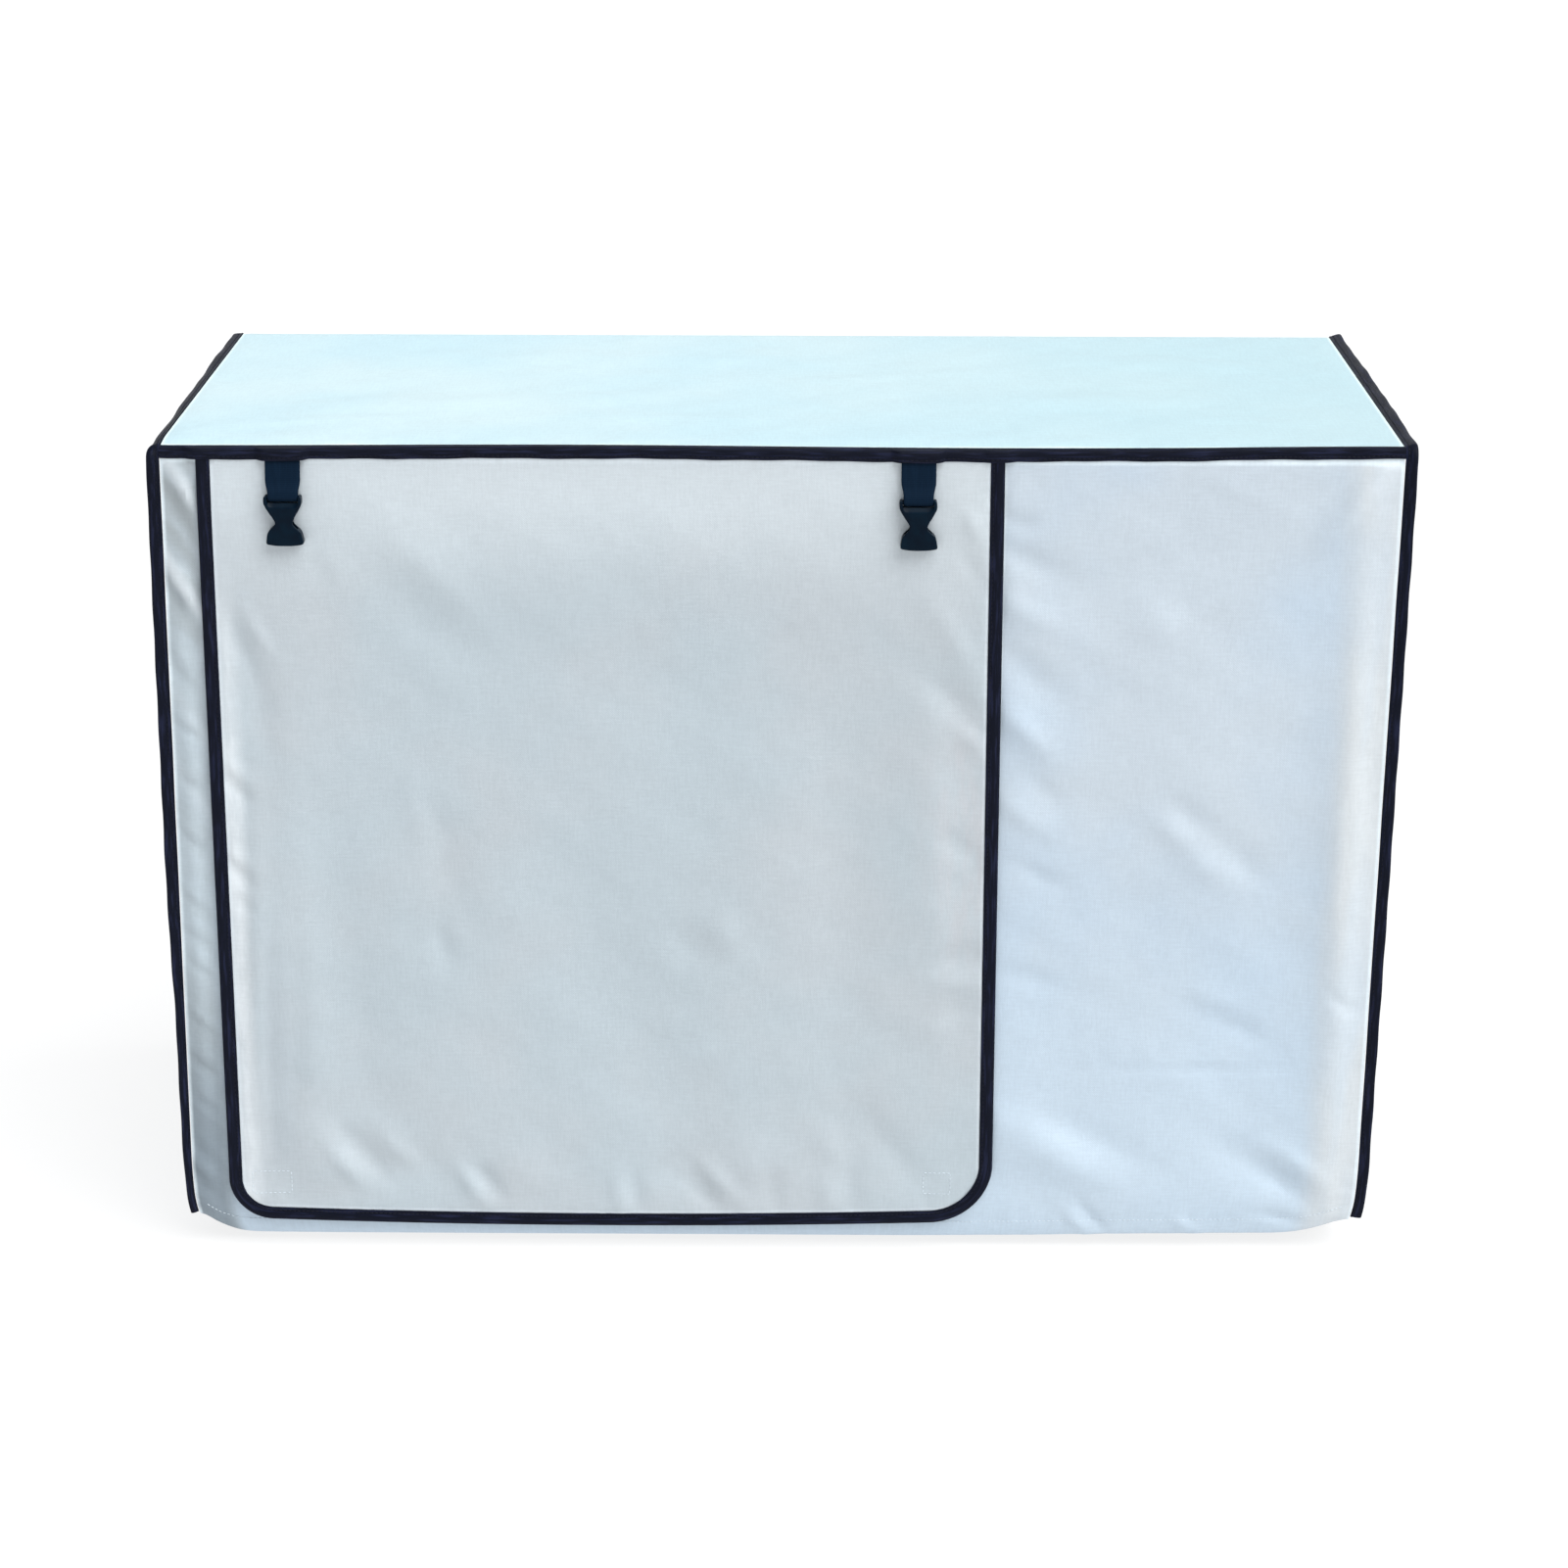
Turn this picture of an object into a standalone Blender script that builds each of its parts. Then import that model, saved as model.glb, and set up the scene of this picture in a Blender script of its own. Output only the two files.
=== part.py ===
"""Fitted cloth cover for an outdoor air conditioner, hanging as it does over the unit.

A front panel, two side panels and a one-piece top and back make a box that is open below.
Black tape binds the outside seams. A flap with rounded lower corners, bound on three sides,
hangs over a window in the front panel, and two webbing straps carry the buckle sockets that
hold the flap when it is rolled up. The hem is turned inside and drawn in at the corners.

Lengths are in metres, +Z is up and -Y is the front. The origin is the middle of the underside
of the top panel, where the cover rests on the unit.
"""

import math
from collections import namedtuple

import bmesh
import bpy
from mathutils import Vector

# Driving sizes
WIDTH = 0.840
DEPTH = 0.384
HEIGHT = 0.586
CLOTH = 0.0012
TAPE_WALL = 0.0008
GAP = 0.0003

FRONT_Y = -DEPTH / 2
TOP_EDGE_Z = CLOTH

# The hem: a turned double edge, drawn in below, with lifted corners
HEM_DEPTH = 0.013
HEM_EXTRA = 0.0010
TURN_HEIGHT = 0.036
DRAW_IN = 0.0040
CORNER_TURN_HEIGHT = 0.065
CORNER_DRAW = 0.0035
CORNER_REACH = 0.028
LEFT_LIFT = 0.0150
LEFT_LIFT_REACH = 0.0165
RIGHT_LIFT = 0.0115
RIGHT_LIFT_REACH = 0.0280
HEM_RISE = 0.0035
HEM_RISE_FROM = 0.080
HEM_RISE_OVER = 0.260
LEAN = 0.0047

# The top dips unevenly to its front seam, least at the right end
DIP = 0.0020
DIP_SWING = 0.0008
DIP_WAVE = 0.560
DIP_REACH = 0.030
DIP_ENDS_FROM = 0.260
DIP_ENDS_OVER = 0.160

# The top and back are one piece, folded over the back edge
BACK_FOLD_RADIUS = 0.009

# The window in the front panel, covered by the flap
WINDOW_LEFT = -0.357
WINDOW_RIGHT = 0.112
WINDOW_TOP = -0.034
WINDOW_BOTTOM = -0.536

# The flap, to the outside of its binding
FLAP_MIDDLE_X = -0.1225
FLAP_HALF_TOP = 0.2732
FLAP_HALF_BOTTOM = 0.2753
FLAP_TOP = -0.0022
FLAP_BOTTOM = -0.5700
FLAP_SAG = 0.0050
FLAP_RADIUS_LEFT = 0.031
FLAP_RADIUS_RIGHT = 0.045
STAND_AT_SEAM = 0.0015
STAND_BELOW = 0.0032
STAND_FROM_Z = -0.012
STAND_TO_Z = -0.046
BINDING_WIDTH = 0.0097
BINDING_INSIDE = 0.0004

# Tape over the front top seam
TAPE_ON_FRONT = 0.0068
TAPE_ON_TOP = 0.0030

# Bound seams that stand out round each side panel. Each row is how far along the seam it is,
# from the front hem (0) over the top to the back hem (1), how wide the seam stands there, and how
# far it tilts (degrees, forwards on the front and upwards on the top)
FIN_THICKNESS = 0.0026
FIN_ROOT = 0.0005
FIN_ABOVE_HEM = 0.0025
FIN_CORNER_RADIUS = 0.0075
FIN_WAVE = math.radians(6)
Fin = namedtuple("Fin", "along width tilt")
LEFT_FIN = (
    Fin(0.00, 0.0066, 38),
    Fin(0.07, 0.0072, 34),
    Fin(0.19, 0.0092, 12),
    Fin(0.34, 0.0092, 8),
    Fin(0.371, 0.0090, 2),
    Fin(0.381, 0.0066, -22),
    Fin(0.41, 0.0072, -22),
    Fin(0.61, 0.0082, -5),
    Fin(1.00, 0.0090, 6),
)
RIGHT_FIN = (
    Fin(0.00, 0.0080, 14),
    Fin(0.20, 0.0086, 8),
    Fin(0.37, 0.0088, 10),
    Fin(0.50, 0.0094, 14),
    Fin(0.63, 0.0092, 10),
    Fin(1.00, 0.0088, 6),
)

# Straps and buckle sockets
STRAP_X = (-0.3365, 0.0925)
STRAP_WIDTH = 0.0235
STRAP_WIDTH_AT_BAR = 0.0203
WEBBING = 0.0010
STRAP_LAYERS_APART = 0.0013
STRAP_TOP_Z = -0.0022
STRAP_TOP_FORWARD = 0.0043
BUCKLE_FORWARD = 0.0093
BAR_Z = (-0.0331, -0.0347)
BAR_RADIUS = 0.0015
SLOT_DEPTH = 0.0035
BUCKLE_THICK = 0.0078
BUCKLE_ABOVE_BAR = 0.0015
BUCKLE_LENGTH = 0.0346
EAR_INSIDE = 0.0212
SOCKET_WIDE = 0.0190
SOCKET_THICK = 0.0046
SOCKET_DEEP = 0.0215

# A soft ridge (height above 0) or trough (below 0): where its middle is on the panel, how long
# and wide it is, which way it runs (degrees up from the panel's first axis), and how high
Fold = namedtuple("Fold", "across up length width turn height")

FRONT_FOLDS = (
    Fold(0.388, -0.290, 0.230, 0.020, 91, 0.0028),
    Fold(0.290, -0.215, 0.120, 0.055, 80, 0.0026),
    Fold(0.215, -0.430, 0.120, 0.040, 64, -0.0020),
    Fold(0.330, -0.440, 0.100, 0.034, 118, -0.0016),
    Fold(0.365, -0.062, 0.060, 0.018, 38, 0.0020),
    Fold(0.262, -0.085, 0.080, 0.026, 8, -0.0016),
    Fold(0.345, -0.528, 0.034, 0.014, -38, -0.0024),
    Fold(0.205, -0.528, 0.050, 0.018, -14, 0.0020),
    Fold(-0.410, -0.040, 0.020, 0.012, -42, 0.0016),
    Fold(-0.410, -0.098, 0.022, 0.012, -46, 0.0020),
    Fold(-0.411, -0.142, 0.020, 0.013, -34, -0.0015),
    Fold(-0.412, -0.230, 0.026, 0.014, -28, 0.0012),
    Fold(-0.413, -0.330, 0.024, 0.014, -36, -0.0012),
    Fold(-0.414, -0.430, 0.024, 0.014, -30, 0.0014),
    Fold(-0.414, -0.500, 0.022, 0.014, -36, -0.0014),
)
FLAP_FOLDS = (
    Fold(-0.180, -0.075, 0.200, 0.030, 2, 0.0022),
    Fold(-0.060, -0.160, 0.150, 0.050, -4, -0.0022),
    Fold(-0.345, -0.330, 0.150, 0.020, 86, 0.0026),
    Fold(-0.305, -0.400, 0.120, 0.024, 95, -0.0022),
    Fold(-0.190, -0.300, 0.120, 0.040, 66, 0.0018),
    Fold(-0.120, -0.380, 0.140, 0.034, 118, -0.0020),
    Fold(-0.020, -0.300, 0.110, 0.036, 74, 0.0022),
    Fold(0.045, -0.340, 0.160, 0.026, 90, -0.0024),
    Fold(0.105, -0.260, 0.140, 0.020, 92, 0.0026),
    Fold(-0.330, -0.530, 0.040, 0.020, 128, 0.0020),
    Fold(-0.255, -0.535, 0.036, 0.020, 118, -0.0020),
    Fold(-0.185, -0.540, 0.034, 0.018, 100, 0.0018),
    Fold(-0.075, -0.532, 0.040, 0.022, 60, -0.0024),
    Fold(-0.020, -0.538, 0.034, 0.018, 96, 0.0020),
    Fold(0.050, -0.530, 0.040, 0.018, 94, -0.0018),
)
TOP_FOLDS = (
    Fold(-0.230, -0.060, 0.120, 0.026, 8, 0.0022),
    Fold(-0.120, 0.090, 0.140, 0.026, -5, 0.0020),
    Fold(0.210, -0.050, 0.120, 0.028, 6, 0.0021),
    Fold(0.280, 0.080, 0.090, 0.024, -12, 0.0019),
)
TOP_LIES_FLAT_BELOW = 0.0004
BACK_FOLDS = (
    Fold(-0.200, -0.300, 0.180, 0.050, 84, 0.0030),
    Fold(0.030, -0.350, 0.200, 0.050, 97, -0.0028),
    Fold(0.260, -0.250, 0.180, 0.050, 88, 0.0030),
    Fold(0.360, -0.100, 0.080, 0.024, 52, 0.0022),
    Fold(-0.350, -0.100, 0.080, 0.024, 128, 0.0022),
)
SIDE_FOLDS = (
    Fold(-0.090, -0.240, 0.170, 0.034, 93, 0.0028),
    Fold(0.010, -0.360, 0.150, 0.034, 84, -0.0030),
    Fold(0.100, -0.220, 0.160, 0.034, 90, 0.0026),
    Fold(-0.120, -0.075, 0.060, 0.022, 44, 0.0022),
    Fold(0.120, -0.085, 0.060, 0.022, 136, 0.0022),
    Fold(-0.060, -0.500, 0.060, 0.024, 62, -0.0020),
)


def ease(share):
    """A smooth step from 0 to 1."""
    share = max(0.0, min(1.0, share))
    return share * share * (3 - 2 * share)


def folded(folds, across, up):
    """The height of a set of folds at a point of its panel."""
    total = 0.0
    for fold in folds:
        turn = math.radians(fold.turn)
        right, above = across - fold.across, up - fold.up
        along = (right * math.cos(turn) + above * math.sin(turn)) / fold.length
        aside = (above * math.cos(turn) - right * math.sin(turn)) / fold.width
        total += fold.height * math.exp(-(along * along) - aside * aside)
    return total


# The shell that the four cloth pieces share


def drawn_in(z):
    """How far every wall has turned inwards at this height."""
    share = max(0.0, (-z - (HEIGHT - TURN_HEIGHT)) / TURN_HEIGHT)
    return DRAW_IN * share * share


def corner_drawn_in(z):
    """How much further the corners are drawn in at this height."""
    share = max(0.0, (-z - (HEIGHT - CORNER_TURN_HEIGHT)) / CORNER_TURN_HEIGHT)
    return CORNER_DRAW * share * share


def lean(z):
    """The cover hangs a little to the left towards its hem."""
    return LEAN * z / HEIGHT


def hem_z(from_corner, x):
    """The lowest point of the cloth at this distance from the nearest corner."""
    lift, reach = (LEFT_LIFT, LEFT_LIFT_REACH) if x < 0 else (RIGHT_LIFT, RIGHT_LIFT_REACH)
    rise = HEM_RISE * ease((x - HEM_RISE_FROM) / HEM_RISE_OVER)
    return -HEIGHT + rise + lift * math.exp(-((from_corner / reach) ** 2))


def top_dip(x, y):
    """How far the top lies below its own level towards the front seam."""
    near = max(0.0, 1 - (y - FRONT_Y) / DIP_REACH)
    swing = DIP_SWING * math.cos(2 * math.pi * (x + WIDTH / 2) / DIP_WAVE)
    ends = 1 - 0.85 * ease((x - DIP_ENDS_FROM) / DIP_ENDS_OVER)
    return (DIP + swing) * ends * near * near


def half_width(z):
    return WIDTH / 2 - drawn_in(z) - corner_drawn_in(z)


def half_depth(z):
    return DEPTH / 2 - drawn_in(z) - corner_drawn_in(z)


def corner_pull(from_corner, z):
    return corner_drawn_in(z) * math.exp(-from_corner / CORNER_REACH)


def edge_fade(distance, reach):
    """Folds die out towards a sewn edge."""
    return ease(distance / reach)


def stand(z):
    """How far the back of the flap stands in front of the front panel."""
    share = max(0.0, min(1.0, (STAND_FROM_Z - z) / (STAND_FROM_Z - STAND_TO_Z)))
    return STAND_AT_SEAM + (STAND_BELOW - STAND_AT_SEAM) * share


def flap_half(z):
    return FLAP_HALF_TOP + (FLAP_HALF_BOTTOM - FLAP_HALF_TOP) * (-z / HEIGHT)


def interpolated(rows, along):
    """The width and tilt of a fin between two rows of its table."""
    for before, after in zip(rows, rows[1:]):
        if along <= after.along:
            break
    share = ease((along - before.along) / (after.along - before.along))
    width = before.width + (after.width - before.width) * share
    return width, math.radians(before.tilt + (after.tilt - before.tilt) * share)


def front_relief(x, z):
    """Folds of the front panel, outwards. They lie flat where the flap hangs over them."""
    from_seam = min(WIDTH / 2 - abs(x), -z)
    beside_flap = abs(x - FLAP_MIDDLE_X) - flap_half(z) + 0.004
    fade = edge_fade(from_seam - 0.0075, 0.010) * ease(beside_flap / 0.012)
    return fade * folded(FRONT_FOLDS, x, z)


def front_point(u, z):
    """A point of the front panel's outside. u runs from -1 at the left seam to 1."""
    x = u * half_width(z) + lean(z)
    from_corner = (1 - abs(u)) * WIDTH / 2
    y = FRONT_Y + drawn_in(z) + corner_pull(from_corner, z) - front_relief(u * WIDTH / 2, z)
    return Vector((x, y, z))


def back_point(u, z):
    """A point of the back's outside, below the fold."""
    x = u * half_width(z) + lean(z)
    from_corner = (1 - abs(u)) * WIDTH / 2
    fade = edge_fade(min(from_corner, -z - BACK_FOLD_RADIUS), 0.05)
    relief = fade * folded(BACK_FOLDS, u * WIDTH / 2, z)
    y = -FRONT_Y - drawn_in(z) - corner_pull(from_corner, z) + relief
    return Vector((x, y, z))


def side_point(side, v, z):
    """A point of a side panel's outside. side is -1 or 1, and v runs from -1 at the front to 1."""
    reach = half_depth(z) - CLOTH - HEM_EXTRA - GAP
    from_corner = (1 - abs(v)) * DEPTH / 2
    fade = edge_fade(min(from_corner, -z), 0.05)
    relief = fade * folded(SIDE_FOLDS, v * DEPTH / 2, z)
    x = WIDTH / 2 - drawn_in(z) - corner_pull(from_corner, z) + relief
    return Vector((side * x + lean(z), v * reach, z))


# Meshes


def material(name, colour, roughness, metallic):
    made = bpy.data.materials.new(name)
    made.use_nodes = True
    shader = made.node_tree.nodes["Principled BSDF"]
    shader.inputs["Base Color"].default_value = (*colour, 1.0)
    shader.inputs["Roughness"].default_value = roughness
    shader.inputs["Metallic"].default_value = metallic
    return made


def solid(name, points, faces, finish, smooth=True):
    """One object from points and faces, with its faces turned outwards."""
    mesh = bpy.data.meshes.new(name)
    mesh.from_pydata([tuple(p) for p in points], [], faces)
    work = bmesh.new()
    work.from_mesh(mesh)
    bmesh.ops.recalc_face_normals(work, faces=work.faces)
    work.to_mesh(mesh)
    work.free()
    if smooth:
        mesh.shade_smooth()
        mesh.set_sharp_from_angle(angle=math.radians(35))
    mesh.materials.append(finish)
    made = bpy.data.objects.new(name, mesh)
    bpy.context.scene.collection.objects.link(made)
    return made


def cloth(name, outside, inside, finish, keep=lambda column, row: True):
    """A sheet between two grids of points, outside[column][row] and inside[column][row]."""
    rows = len(outside[0])
    points = [p for column in outside for p in column]
    back = len(points)
    points += [p for column in inside for p in column]
    faces = []
    edges = set()
    for column in range(len(outside) - 1):
        for row in range(rows - 1):
            if not keep(column, row):
                continue
            a = column * rows + row
            quad = (a, a + rows, a + rows + 1, a + 1)
            faces.append(quad)
            faces.append(tuple(back + p for p in reversed(quad)))
            edges.update(zip(quad, quad[1:] + quad[:1]))
    for a, b in edges:
        if (b, a) not in edges:
            faces.append((b, a, back + a, back + b))
    used = sorted({p for face in faces for p in face})
    place = {p: n for n, p in enumerate(used)}
    faces = [tuple(place[p] for p in face) for face in faces]
    return solid(name, [points[p] for p in used], faces, finish)


def swept(name, rings, finish, smooth=True):
    """A bar through rings of as many points each, closed at both ends."""
    count = len(rings[0])
    points = [p for ring in rings for p in ring]
    faces = [tuple(range(count)), tuple(range(len(points) - count, len(points)))]
    for ring in range(len(rings) - 1):
        start = ring * count
        for k in range(count):
            n = (k + 1) % count
            faces.append((start + k, start + n, start + count + n, start + count + k))
    return solid(name, points, faces, finish, smooth)


def spaced(start, end, count):
    """count + 1 values from start to end."""
    return [start + (end - start) * n / count for n in range(count + 1)]


def hem_column(point, top, bottom, stations):
    """The outside points and the thicknesses down one column of a wall, to its hem."""
    hem_top = bottom + HEM_DEPTH
    levels = [top + (hem_top - top) * share for share in stations]
    step = 0.0006
    levels += [hem_top - step, bottom + HEM_DEPTH * 0.45, bottom]
    thick = [CLOTH] * len(stations) + [CLOTH + HEM_EXTRA] * 3
    return [point(z) for z in levels], thick


# The cloth pieces


def front_panel(finish):
    """The front, with the window behind the flap. Its columns and rows meet the window's edges."""
    left = [-WIDTH / 2, -0.4135, -0.406, -0.396, -0.378, WINDOW_LEFT]
    middle = spaced(WINDOW_LEFT, WINDOW_RIGHT, 14)[1:]
    right = [0.135, 0.152, 0.168] + spaced(0.186, 0.396, 10) + [0.408, 0.414, WIDTH / 2]
    across = left + middle + right
    above = [-0.012, WINDOW_TOP]
    below = spaced(WINDOW_TOP, WINDOW_BOTTOM, 17)[1:]
    outside, inside = [], []
    for x in across:
        u = 2 * x / WIDTH
        bottom = hem_z(WIDTH / 2 - abs(x), x)
        hem_top = bottom + HEM_DEPTH
        levels = [TOP_EDGE_Z - top_dip(x, FRONT_Y)] + above + below
        levels += [WINDOW_BOTTOM + (hem_top - WINDOW_BOTTOM) * 0.5, hem_top]
        thick = [CLOTH] * len(levels) + [CLOTH + HEM_EXTRA] * 3
        levels += [hem_top - 0.0006, bottom + HEM_DEPTH * 0.45, bottom]
        column = [front_point(u, z) for z in levels]
        outside.append(column)
        inside.append([p + Vector((0, t, 0)) for p, t in zip(column, thick)])
    first_column, last_column = len(left) - 1, len(left) + len(middle) - 1
    first_row, last_row = len(above), len(above) + len(below)

    def keep(column, row):
        in_window = first_column <= column < last_column and first_row <= row < last_row
        return not in_window

    return cloth("front_panel", outside, inside, finish, keep)


def side_top(y):
    """The top of a side panel, which follows the fold of the back edge."""
    radius = BACK_FOLD_RADIUS - CLOTH - GAP
    past = max(0.0, y - (-FRONT_Y - BACK_FOLD_RADIUS))
    return CLOTH - BACK_FOLD_RADIUS + math.sqrt(radius**2 - past**2)


def side_panel(side, name, finish):
    """A side, cut to the fold at its top back corner and hemmed below."""
    stations = [0, 0.02, 0.055] + spaced(0.11, 0.93, 11) + [0.965, 1]
    along = [-1, -0.97, -0.92] + spaced(-0.82, 0.82, 9) + [0.92, 0.96, 0.975, 0.99, 1]
    outside, inside = [], []
    for v in along:
        bottom = hem_z((1 - abs(v)) * DEPTH / 2, side * WIDTH / 2)
        y = v * (DEPTH / 2 - CLOTH - HEM_EXTRA - GAP)
        top = side_top(y) - top_dip(side * WIDTH / 2, y)
        column, thick = hem_column(
            lambda z, v=v: side_point(side, v, z), top, bottom, stations
        )
        outside.append(column)
        inside.append([p - Vector((side * t, 0, 0)) for p, t in zip(column, thick)])
    return cloth(name, outside, inside, finish)


def top_back_panel(finish):
    """The top from the front seam to the back edge, the fold, and the back down to its hem."""
    across = [-1, -0.985, -0.95] + spaced(-0.88, 0.88, 14) + [0.95, 0.985, 1]
    front_edge = FRONT_Y + CLOTH + GAP
    fold_start = -FRONT_Y - BACK_FOLD_RADIUS
    top_rows = spaced(front_edge, front_edge + 0.020, 3)
    top_rows += spaced(front_edge + DIP_REACH, fold_start, 8)
    stations = spaced(0, 0.94, 12) + [0.97, 1]
    outside, inside = [], []
    for u in across:
        column, inner = [], []
        x = u * WIDTH / 2
        for y in top_rows:
            fade = edge_fade(min(WIDTH / 2 - abs(x), y - front_edge, fold_start - y), 0.045)
            lift = fade * max(0.0, folded(TOP_FOLDS, x, y) - TOP_LIES_FLAT_BELOW)
            lift -= top_dip(x, y)
            column.append(Vector((x, y, CLOTH + lift)))
            inner.append(Vector((x, y, lift)))
        for step in range(1, 4):
            angle = math.radians(22.5 * step)
            centre = Vector((x, fold_start, CLOTH - BACK_FOLD_RADIUS))
            way = Vector((0, math.sin(angle), math.cos(angle)))
            column.append(centre + way * BACK_FOLD_RADIUS)
            inner.append(centre + way * (BACK_FOLD_RADIUS - CLOTH))
        bottom = hem_z((1 - abs(u)) * WIDTH / 2, u * WIDTH / 2)
        wall, thick = hem_column(
            lambda z, u=u: back_point(u, z), CLOTH - BACK_FOLD_RADIUS, bottom, stations
        )
        column += wall
        inner += [p - Vector((0, t, 0)) for p, t in zip(wall, thick)]
        outside.append(column)
        inside.append(inner)
    return cloth("top_back_panel", outside, inside, finish)


def flap_bottom_z(x, inset=0.0):
    """The flap's lower outline, with its sag and its two rounded corners."""
    half = flap_half(FLAP_BOTTOM) - inset
    share = (x - FLAP_MIDDLE_X) / half
    z = FLAP_BOTTOM - FLAP_SAG * (1 - share * share) + inset
    radius = (FLAP_RADIUS_RIGHT if share > 0 else FLAP_RADIUS_LEFT) - inset
    from_edge = half * (1 - abs(share))
    if from_edge < radius:
        z += radius - math.sqrt(max(0.0, radius**2 - (radius - from_edge) ** 2))
    return z


def flap_relief(x, z):
    from_edge = min(flap_half(z) - abs(x - FLAP_MIDDLE_X), z - FLAP_BOTTOM)
    fade = ease((from_edge - 0.013) / 0.03) * ease((-0.012 - z) / 0.03)
    for strap_x in STRAP_X:
        near = ease((abs(x - strap_x) - 0.016) / 0.03)
        fade *= max(near, ease((-0.078 - z) / 0.03))
    return fade * folded(FLAP_FOLDS, x, z)


def flap_y(x, z):
    """The flap's outer face."""
    return FRONT_Y - stand(z) - CLOTH - flap_relief(x, z)


FLAP_EDGE_LEVELS = [FLAP_TOP, STAND_FROM_Z, -0.024, -0.035, STAND_TO_Z, -0.062]


def flap(finish):
    """The flap's cloth, inside the fold of its binding."""
    inset = TAPE_WALL + BINDING_INSIDE + 0.0002
    half = flap_half(0) - inset
    near_edge = [0, 0.0022, 0.0065, 0.0125, 0.020, 0.032, 0.047]
    inner = spaced(-half + 0.066, half - 0.066, 17)
    across = [-half + d for d in near_edge] + inner + [half - d for d in reversed(near_edge)]
    outside, inside = [], []
    for from_middle in across:
        share = from_middle / half
        low_x = FLAP_MIDDLE_X + share * (flap_half(FLAP_BOTTOM) - inset)
        bottom = flap_bottom_z(low_x, inset)
        lowest = FLAP_EDGE_LEVELS[-1]
        levels = FLAP_EDGE_LEVELS + spaced(lowest, bottom + 0.026, 17)[1:]
        levels += [bottom + 0.0125, bottom]
        column = []
        for z in levels:
            x = FLAP_MIDDLE_X + share * (flap_half(z) - inset)
            column.append(Vector((x, flap_y(x, z), z)))
        outside.append(column)
        inside.append([p + Vector((0, CLOTH, 0)) for p in column])
    return cloth("flap", outside, inside, finish)


# The bindings


def flap_outline():
    """Points down the left edge, along the bottom and up the right edge, with inward directions."""
    route = []
    left_end = FLAP_BOTTOM + FLAP_RADIUS_LEFT
    levels = FLAP_EDGE_LEVELS + spaced(FLAP_EDGE_LEVELS[-1], left_end, 12)[1:]
    for z in levels:
        route.append((FLAP_MIDDLE_X - flap_half(z), z))
    half = flap_half(FLAP_BOTTOM)
    for step in range(1, 8):
        angle = math.radians(90 * step / 8)
        shift = FLAP_RADIUS_LEFT * (1 - math.cos(angle))
        x = FLAP_MIDDLE_X - half + shift
        route.append((x, flap_bottom_z(x)))
    first = FLAP_MIDDLE_X - half + FLAP_RADIUS_LEFT
    last = FLAP_MIDDLE_X + half - FLAP_RADIUS_RIGHT
    route += [(x, flap_bottom_z(x)) for x in spaced(first, last, 14)]
    for step in range(1, 10):
        angle = math.radians(90 * step / 10)
        x = last + FLAP_RADIUS_RIGHT * math.sin(angle)
        route.append((x, flap_bottom_z(x)))
    right_end = FLAP_BOTTOM + FLAP_RADIUS_RIGHT
    levels = spaced(right_end, FLAP_EDGE_LEVELS[-1], 12) + FLAP_EDGE_LEVELS[-2::-1]
    for z in levels:
        route.append((FLAP_MIDDLE_X + flap_half(z), z))
    inward = []
    for n in range(len(route)):
        before, after = route[max(0, n - 1)], route[min(len(route) - 1, n + 1)]
        run = Vector((after[0] - before[0], after[1] - before[1])).normalized()
        inward.append((-run.y, run.x))
    inward[0], inward[-1] = (1, 0), (-1, 0)
    return route, inward


def flap_binding(finish):
    """Tape folded round the flap's edge: a channel whose two legs hold the cloth."""
    rings = []
    inner_gap = GAP + CLOTH / 2
    outer = inner_gap + TAPE_WALL
    for (x, z), (in_x, in_z) in zip(*flap_outline()):
        profile = (
            (0.0, -outer + 0.0005),
            (0.0005, -outer),
            (BINDING_WIDTH, -outer),
            (BINDING_WIDTH, -inner_gap),
            (TAPE_WALL, -inner_gap),
            (TAPE_WALL, inner_gap),
            (BINDING_WIDTH, inner_gap),
            (BINDING_WIDTH, outer),
            (0.0005, outer),
            (0.0, outer - 0.0005),
        )
        middle = FRONT_Y - stand(z) - CLOTH / 2
        ring = []
        for inwards, towards_back in profile:
            ring.append(
                Vector((x + in_x * inwards, middle + towards_back, z + in_z * inwards))
            )
        rings.append(ring)
    return swept("flap_binding", rings, finish)


def tape_stand(x):
    """How far the front top tape stands off the front panel: over cloth, binding or a strap."""
    needed = [(-WIDTH, WIDTH, GAP)]
    half = flap_half(0)
    left, right = FLAP_MIDDLE_X - half, FLAP_MIDDLE_X + half
    over_cloth = STAND_AT_SEAM + CLOTH + GAP
    over_binding = over_cloth + TAPE_WALL + GAP
    needed.append((left, right, over_cloth))
    needed.append((left, left + BINDING_WIDTH, over_binding))
    needed.append((right - BINDING_WIDTH, right, over_binding))
    tape_low = TOP_EDGE_Z - TAPE_ON_FRONT - DIP - DIP_SWING
    for strap_x, bar_z in zip(STRAP_X, BAR_Z):
        reach = STRAP_WIDTH / 2
        strap_front = strap_forward(tape_low, bar_z) + (STRAP_LAYERS_APART + WEBBING) / 2
        needed.append((strap_x - reach, strap_x + reach, strap_front + 2 * GAP))
    stand_off = 0.0
    for start, end, height in needed:
        outside = max(start - x, x - end, 0.0) - 0.0008
        stand_off = max(stand_off, height * (1 - ease(outside / 0.009)))
    return max(stand_off, GAP)


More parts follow.
